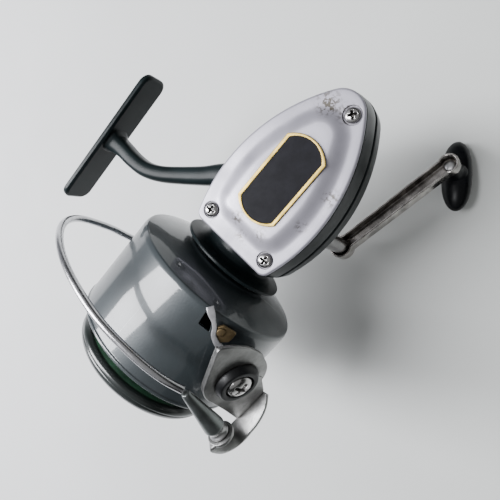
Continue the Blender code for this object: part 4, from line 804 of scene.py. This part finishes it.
# --- Bail
WIRE_RADIUS = 1.45
BUSH_BORE = 6.3         # radius of the hole in each arm
SCREW_SEAT = 43.0       # along the pivot axis
ROLLER_BASE = Vector((16.3, 50.4, -0.5))
CONE_TIP = Vector((6.6, 43.6, 21.3))
ROLLER = Matrix.Translation(ROLLER_BASE) \
    @ Vector((0, 0, 1)).rotation_difference((CONE_TIP - ROLLER_BASE).normalized()).to_matrix().to_4x4()
WIRE_ROUTE = [  # pivot frame: x forward, y out along the pivot axis, z up over the rotor
    (6.4, 43.0, 21.9), (6.3, 38.9, 30.2), (6.1, 30.5, 39.3), (5.7, 17.0, 48.6), (5.2, -2.5, 54.4),
    (4.8, -19.6, 54.6), (4.4, -33.4, 50.0), (4.1, -41.4, 41.0), (4.0, -43.9, 27.0), (4.0, -43.0, 19.0),
    (4.0, -42.4, 14.4),
]
HOOK = [  # lower and upper edge of the hook's middle surface
    (3.0, 39.8, -20.0, 3.4, 42.6, -20.0), (8.0, 39.8, -20.1, 8.0, 46.4, -20.1),
    (14.0, 39.8, -20.2, 14.0, 48.2, -20.2), (19.4, 40.6, -19.6, 20.4, 49.2, -18.8),
    (22.6, 43.6, -16.0, 23.8, 50.8, -14.6), (23.2, 46.0, -8.8, 23.8, 53.0, -7.0),
    (21.4, 46.8, -2.6, 21.8, 53.8, 0.2), (19.2, 46.6, -1.9, 19.2, 54.2, 0.5),
]


def bail_arm_near():
    """Near arm: a pressed plate with its edge folded down, and the hook that holds the roller."""
    outline = arc((0.0, 0.0), 12.6, math.radians(8.0), math.radians(62.0), 20)
    outline += rounded([outline[-1], (-11.2, 19.4), (-13.6, 14.2), (-14.9, 7.0), (-13.9, -1.0),
                        (-11.4, -5.4)], 2.0, 5, False, 178.0)[1:]
    outline += arc((0.0, 0.0), 12.6, math.radians(206.0), math.radians(258.0), 20)
    outline += rounded([outline[-1], (3.2, -19.6), (19.6, -19.9), (15.4, -8.0), outline[0]],
                       2.2, 5, False)[1:-1]
    plate = boolean(prism(outline, 39.4, 41.0, "Y"), [(CUT, rod(37.0, 44.0, BUSH_BORE, "Y", 64))])
    piece("arm_plate_near", bevelled(plate, 0.4, 4), BAIL, CHROME_ARM, "bail", ["bail_arm_near"])
    fold_turn = (math.radians(4.0), math.radians(60.0))
    fold = arc((0.0, 0.0), 12.5, *fold_turn, 24) + [(-10.3, 18.7), (-10.6, 17.5)]
    fold += arc((0.0, 0.0), 11.4, *reversed(fold_turn), 24)
    piece("arm_fold_near", bevelled(prism(fold, 38.3, 40.6, "Y"), 0.35, 3), BAIL, CHROME_ARM, "bail")

    edges = [(Vector(row[:3]), Vector(row[3:])) for row in spline(HOOK, 7)]
    stations = []
    for i, (low, high) in enumerate(edges):
        before, after = edges[max(i - 1, 0)], edges[min(i + 1, len(edges) - 1)]
        along = (after[0] + after[1] - before[0] - before[1]).normalized()
        across = (high - low).normalized()
        across = (across - along * across.dot(along)).normalized()
        stations.append(((low + high) / 2.0, across, across.cross(along), (high - low).length, 1.5))
    piece("arm_hook_near", sweep(stations, 0.4), BAIL, CHROME_ARM, "bail")
    eye = turned([(-2.0, 1.5), (-2.0, 4.9), (-0.35, 4.9), (-0.35, 1.5)], 48, "Z", True, 0.35)
    piece("arm_eye_near", eye, BAIL @ ROLLER, CHROME_ARM, "bail")


def bail():
    """Roller, cone, wire, far arm, bushings and pivot screws."""
    length = (CONE_TIP - ROLLER_BASE).length
    roller = [(0.0, 1.6), (0.0, 3.6), (0.6, 3.7), (1.2, 3.2), (1.8, 3.0), (2.4, 3.0), (3.0, 3.2), (3.6, 3.6),
              (3.6, 1.6)]
    piece("roller_ring", turned(roller, 56, "Z", True, 0.25), BAIL @ ROLLER, STEEL, "roller", ["line_roller"])
    cone = [(7.4, 0.0), (7.4, 1.6), (3.9, 1.6), (3.9, 3.75), (4.5, 3.9), (5.0, 3.85), (9.0, 3.4),
            (14.0, 2.75), (length - 3.0, 1.85), (length - 1.2, 1.6), (length - 0.5, 1.35),
            (length - 0.5, 0.0)]
    piece("cone_taper", turned(rounded(cone, 0.3, 3, False, 168.0), 56, "Z"), BAIL @ ROLLER, CONE_GREY,
          "bail", ["bail_cone"])
    pin = [(-3.8, 0.0), (-3.75, 1.0), (-3.3, 2.2), (-2.35, 2.6), (-2.3, 1.25), (7.0, 1.25), (7.0, 0.0)]
    pin = turned(rounded(pin, 0.25, 3, False), 40, "Z")
    driver = prism([(-3.2, -0.35), (3.2, -0.35), (3.2, 0.35), (-3.2, 0.35)], -4.2, -3.1)
    piece("roller_pin", boolean(pin, [(CUT, driver)]), BAIL @ ROLLER, CHROME, "bail",
          ["roller_screw"])
    piece("wire_bow", tube(spline(WIRE_ROUTE, 14), WIRE_RADIUS, 24), BAIL, WIRE, "bail", ["bail_wire"])

    disc = bevelled(rod(-41.0, -39.4, 10.8, "Y", 96), 0.4, 4)
    lug = bevelled(prism([(1.0, 8.6), (7.0, 8.6), (7.0, 14.0), (1.0, 14.0)], -43.6, -39.8, "Y"), 0.6, 4)
    far = boolean(disc, [(ADD, lug), (CUT, rod(-45.0, -37.0, BUSH_BORE, "Y", 64))])
    piece("arm_plate_far", far, BAIL, CHROME_ARM, "bail", ["bail_arm_far"])
    for side, sign in (("near", 1.0), ("far", -1.0)):
        bush = [(39.4, 1.9), (39.4, 6.0), (41.3, 6.0), (41.3, 8.6), (42.2, 8.4), (44.2, 7.3), (44.2, 5.4),
                (42.7, 5.4), (42.7, 1.9)]
        form = turned([(sign * y, r) for y, r in bush], 72, "Y", True, 0.45, 4)
        piece(f"bushing_{side}", form, BAIL, RUBBER_BLACK, "rotor", [f"bail_bushing_{side}"])
        tip = spun(-sign * 90.0, "X")
        screw(f"bail_screw_{side}", 4.9, 1.6, 9.4, BAIL @ at(y=sign * SCREW_SEAT) @ tip, "rotor")


# --- Spool
def spool():
    """Spool with its rolled front rim, the wound line, and a few loosely laid turns on it."""
    outer = [(44.0, 18.2), (44.0, 33.0), (45.6, 33.0), (46.2, 20.0), (60.8, 20.0), (61.4, 30.2), (62.2, 31.2),
             (63.0, 31.9), (64.2, 32.0), (64.8, 31.6), (65.4, 31.75), (66.8, 31.2), (68.2, 30.0),
             (69.0, 27.4), (69.0, 25.0), (66.8, 23.0), (66.0, 13.6), (66.0, 11.0), (60.0, 10.4), (60.0, 2.2)]
    inner = [(46.5, 2.2), (46.5, 6.0), (57.6, 6.4), (58.2, 12.4), (64.0, 13.0), (64.0, 18.2)]
    piece("spool_body", turned(rounded(outer + inner, 0.6, 4, True, 168.0), 128, looped=True), REEL,
          SPOOL_DARK, "spool", ["spool"])

    def barrel(x):
        return 26.0 - 1.2 * abs((x - 53.5) / 6.9) ** 4

    low, high, pitch = 46.6, 60.4, 0.4
    count = int((high - low) / pitch)
    profile = [(low, 20.3)]
    for i in range(count):
        for share, rise in ((0.0, 0.0), (0.25, 0.11), (0.5, 0.15), (0.75, 0.11)):
            x = low + (i + share) * pitch
            profile.append((x, barrel(x) + rise - 0.1))
    profile += [(high, barrel(high) - 0.1), (high, 20.3)]
    piece("line_turns", turned(profile, 96, looped=True), REEL, NYLON, "spool", ["line_winding"])
    path = []
    turns, per_turn, traverses = 15, 44, 6.5
    for i in range(turns * per_turn + 1):
        t = i / (turns * per_turn)
        lay = abs((t * traverses) % 2.0 - 1.0)
        x = low + 0.6 + (high - low - 1.2) * lay
        turn = math.tau * turns * t
        path.append((x, (barrel(x) + 0.12) * math.cos(turn), (barrel(x) + 0.12) * math.sin(turn)))
    piece("line_crossings", tube(path, 0.17, 6), REEL, NYLON, "spool")


def drag_knob():
    """Fluted drag knob with a dished face."""
    steps = 216
    flutes = []
    for i in range(steps):
        turn = math.tau * i / steps
        wave = math.cos(12.0 * turn)
        flutes.append((turn, 9.25 + 0.32 * math.tanh(3.0 * wave) / math.tanh(3.0)))

    outside = [(67.9, 0.93), (68.1, 0.97), (68.5, 1.0), (74.2, 1.0), (75.0, 0.98), (75.6, 0.93),
               (76.0, 0.86)]
    dish = [(76.0, 6.6), (75.8, 6.3), (75.2, 5.9), (75.1, 5.6), (75.1, 3.0), (75.0, 2.3), (70.6, 2.2),
            (70.6, 5.4), (67.8, 5.4), (67.8, 8.4)]
    rings = [[(x, r * scale * math.cos(t), r * scale * math.sin(t)) for t, r in flutes]
             for x, scale in outside]
    rings += [[(x, radius * math.cos(t), radius * math.sin(t)) for t, _ in flutes]
              for x, radius in dish]
    piece("drag_grip", skin(rings, looped=True), REEL, RUBBER_BLACK, "drag_knob", ["drag_knob"])


gear_housing()
side_plate()
badge()
for key, (px, py) in PLATE_SCREWS.items():
    screw(f"plate_screw_{key}", 2.7, 1.25, 9.0,
          REEL @ at(px, py, PLATE_TOP - 0.2) @ Matrix.Rotation(0.5 + px * 0.07, 4, "Z"), "frame")
crank()
reverse_lever()
rotor()
trip_lever()
bail_arm_near()
bail()
spool()
drag_knob()

# --- CAD nodes that stay, with procedural finishes
CARRIED = {
    STEEL: ["slider_guide_rod", "pawl_stud", "crank_shaft", "anti_reverse_ratchet", "anti_reverse_pawl",
            "rotor_nut", "bail_spring", "spool_shaft", "drag_disc_inner", "drag_disc_outer",
            "drag_spring", "click_pawl"],
    BRONZE: ["neck_bearing", "crank_bushing"],
    BRASS: ["pinion_gear", "oscillation_slider"],
    ZINC: ["drive_gear", "click_wheel"],
    FELT: ["drag_felt_inner", "drag_felt_outer"],
}
for mat, names in CARRIED.items():
    for node_name in names:
        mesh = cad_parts[node_name].data
        if not mesh.materials:
            mesh.materials.append(mat)
        for index in range(len(mesh.materials)):
            mesh.materials[index] = mat

# --- Floor, room and lights
FLOOR_Z = CAD_BOX[0][2] - 0.0002
REEL_MIDDLE = Vector((0.0, 0.075, 0.0))


def floor_material():
    """Pale matt table top with a faint mottle, and painted light: a little cooler and lighter towards the
    window, darker away from it.
    """
    g = Graph("pale_table")
    split = g.node("ShaderNodeSeparateXYZ")
    g.put(split.inputs[0], g.coords)
    # Painted light: the table colour is lighter and cooler towards the window, darker and greener away from
    # it.
    slope = g.math("ADD", g.math("MULTIPLY", split.outputs["X"], 0.70),
                   g.math("MULTIPLY", split.outputs["Y"], -0.72))
    side = g.mapped(slope, -0.30, 0.22)
    colour = g.mix(side, (0.58, 0.60, 0.57), (0.72, 0.725, 0.735))
    mottle = g.mapped(g.noise(9.0, 4.0), 0.3, 0.7, 0.97, 1.03)
    shade = g.node("ShaderNodeMix", data_type="RGBA", blend_type="MULTIPLY")
    shade.inputs["Factor"].default_value = 1.0
    g.put(shade.inputs["A"], colour)
    grey = g.node("ShaderNodeCombineColor")
    for channel in grey.inputs:
        g.put(channel, mottle)
    g.put(shade.inputs["B"], grey.outputs[0])
    g.put(g.shader.inputs["Base Color"], shade.outputs["Result"])
    g.put(g.shader.inputs["Roughness"], g.mapped(g.noise(40.0, 3.0), 0.3, 0.7, 0.55, 0.68))
    g.shader.inputs["Specular IOR Level"].default_value = 0.25
    return g.mat


def floor():
    """The table top that the reel lies on."""
    bm = bmesh.new()
    bmesh.ops.create_grid(bm, x_segments=24, y_segments=24, size=3.0)
    bmesh.ops.translate(bm, vec=(0.0, 0.07, FLOOR_Z), verts=bm.verts)
    mesh = mesh_of(bm, "table_top")
    mesh.materials.append(floor_material())
    linked("table_top", mesh)


def area_light(name, direction, distance, size, power, colour):
    """A soft rectangular light that faces the reel from a direction."""
    data = bpy.data.lights.new(name, "AREA")
    data.shape = "RECTANGLE"
    data.size, data.size_y = size
    data.energy = power
    data.color = colour
    obj = linked(name, data)
    obj.location = REEL_MIDDLE + Vector(direction).normalized() * distance
    obj.rotation_euler = (REEL_MIDDLE - obj.location).to_track_quat("-Z", "Y").to_euler()


def room():
    """A dim room, brighter towards the window; the camera itself sees a plain pale backdrop."""
    world = bpy.data.worlds.new("room")
    world.use_nodes = True
    SCENE.world = world
    tree = world.node_tree
    coords = tree.nodes.new("ShaderNodeTexCoord")
    dot = tree.nodes.new("ShaderNodeVectorMath")
    dot.operation = "DOT_PRODUCT"
    dot.inputs[1].default_value = Vector((0.62, -0.70, 0.35)).normalized()
    tree.links.new(coords.outputs["Generated"], dot.inputs[0])
    ramp = tree.nodes.new("ShaderNodeValToRGB")
    stops = ramp.color_ramp.elements
    stops[0].color = (0.010, 0.0105, 0.010, 1.0)
    stops[1].color = (0.50, 0.51, 0.55, 1.0)
    stops.new(0.62).color = (0.045, 0.047, 0.048, 1.0)
    spread = tree.nodes.new("ShaderNodeMapRange")
    spread.inputs["From Min"].default_value = -1.0
    tree.links.new(dot.outputs["Value"], spread.inputs["Value"])
    tree.links.new(spread.outputs["Result"], ramp.inputs["Fac"])
    ray = tree.nodes.new("ShaderNodeLightPath")
    seen = tree.nodes.new("ShaderNodeMix")
    seen.data_type = "RGBA"
    seen.inputs["B"].default_value = (0.80, 0.81, 0.81, 1.0)
    tree.links.new(ray.outputs["Is Camera Ray"], seen.inputs["Factor"])
    tree.links.new(ramp.outputs["Color"], seen.inputs["A"])
    tree.links.new(seen.outputs["Result"], tree.nodes["Background"].inputs["Color"])


floor()
room()
area_light("window", (0.39, -0.51, 0.77), 0.95, (0.32, 0.88), 28.5, (0.965, 0.97, 1.0))
sky = bpy.data.lights.new("sky", "SUN")
sky.energy = 0.7
sky.angle = math.radians(120.0)
linked("sky", sky)

# --- Camera
camera_data = bpy.data.cameras.new("camera")
camera_data.sensor_width = 36.0
camera_data.lens = 35.297
camera_data.clip_start = 0.001
camera = linked("camera", camera_data)
forward = Vector((0.247, -0.210, -0.946)).normalized()
right = Vector((-0.633, 0.704, -0.322))
right = (right - forward * right.dot(forward)).normalized()
camera_turn = Matrix((right, right.cross(forward), -forward)).transposed()
camera.matrix_world = at(-0.05456, 0.11974, 0.1833) @ camera_turn.to_4x4()
SCENE.camera = camera

bpy.context.view_layer.update()
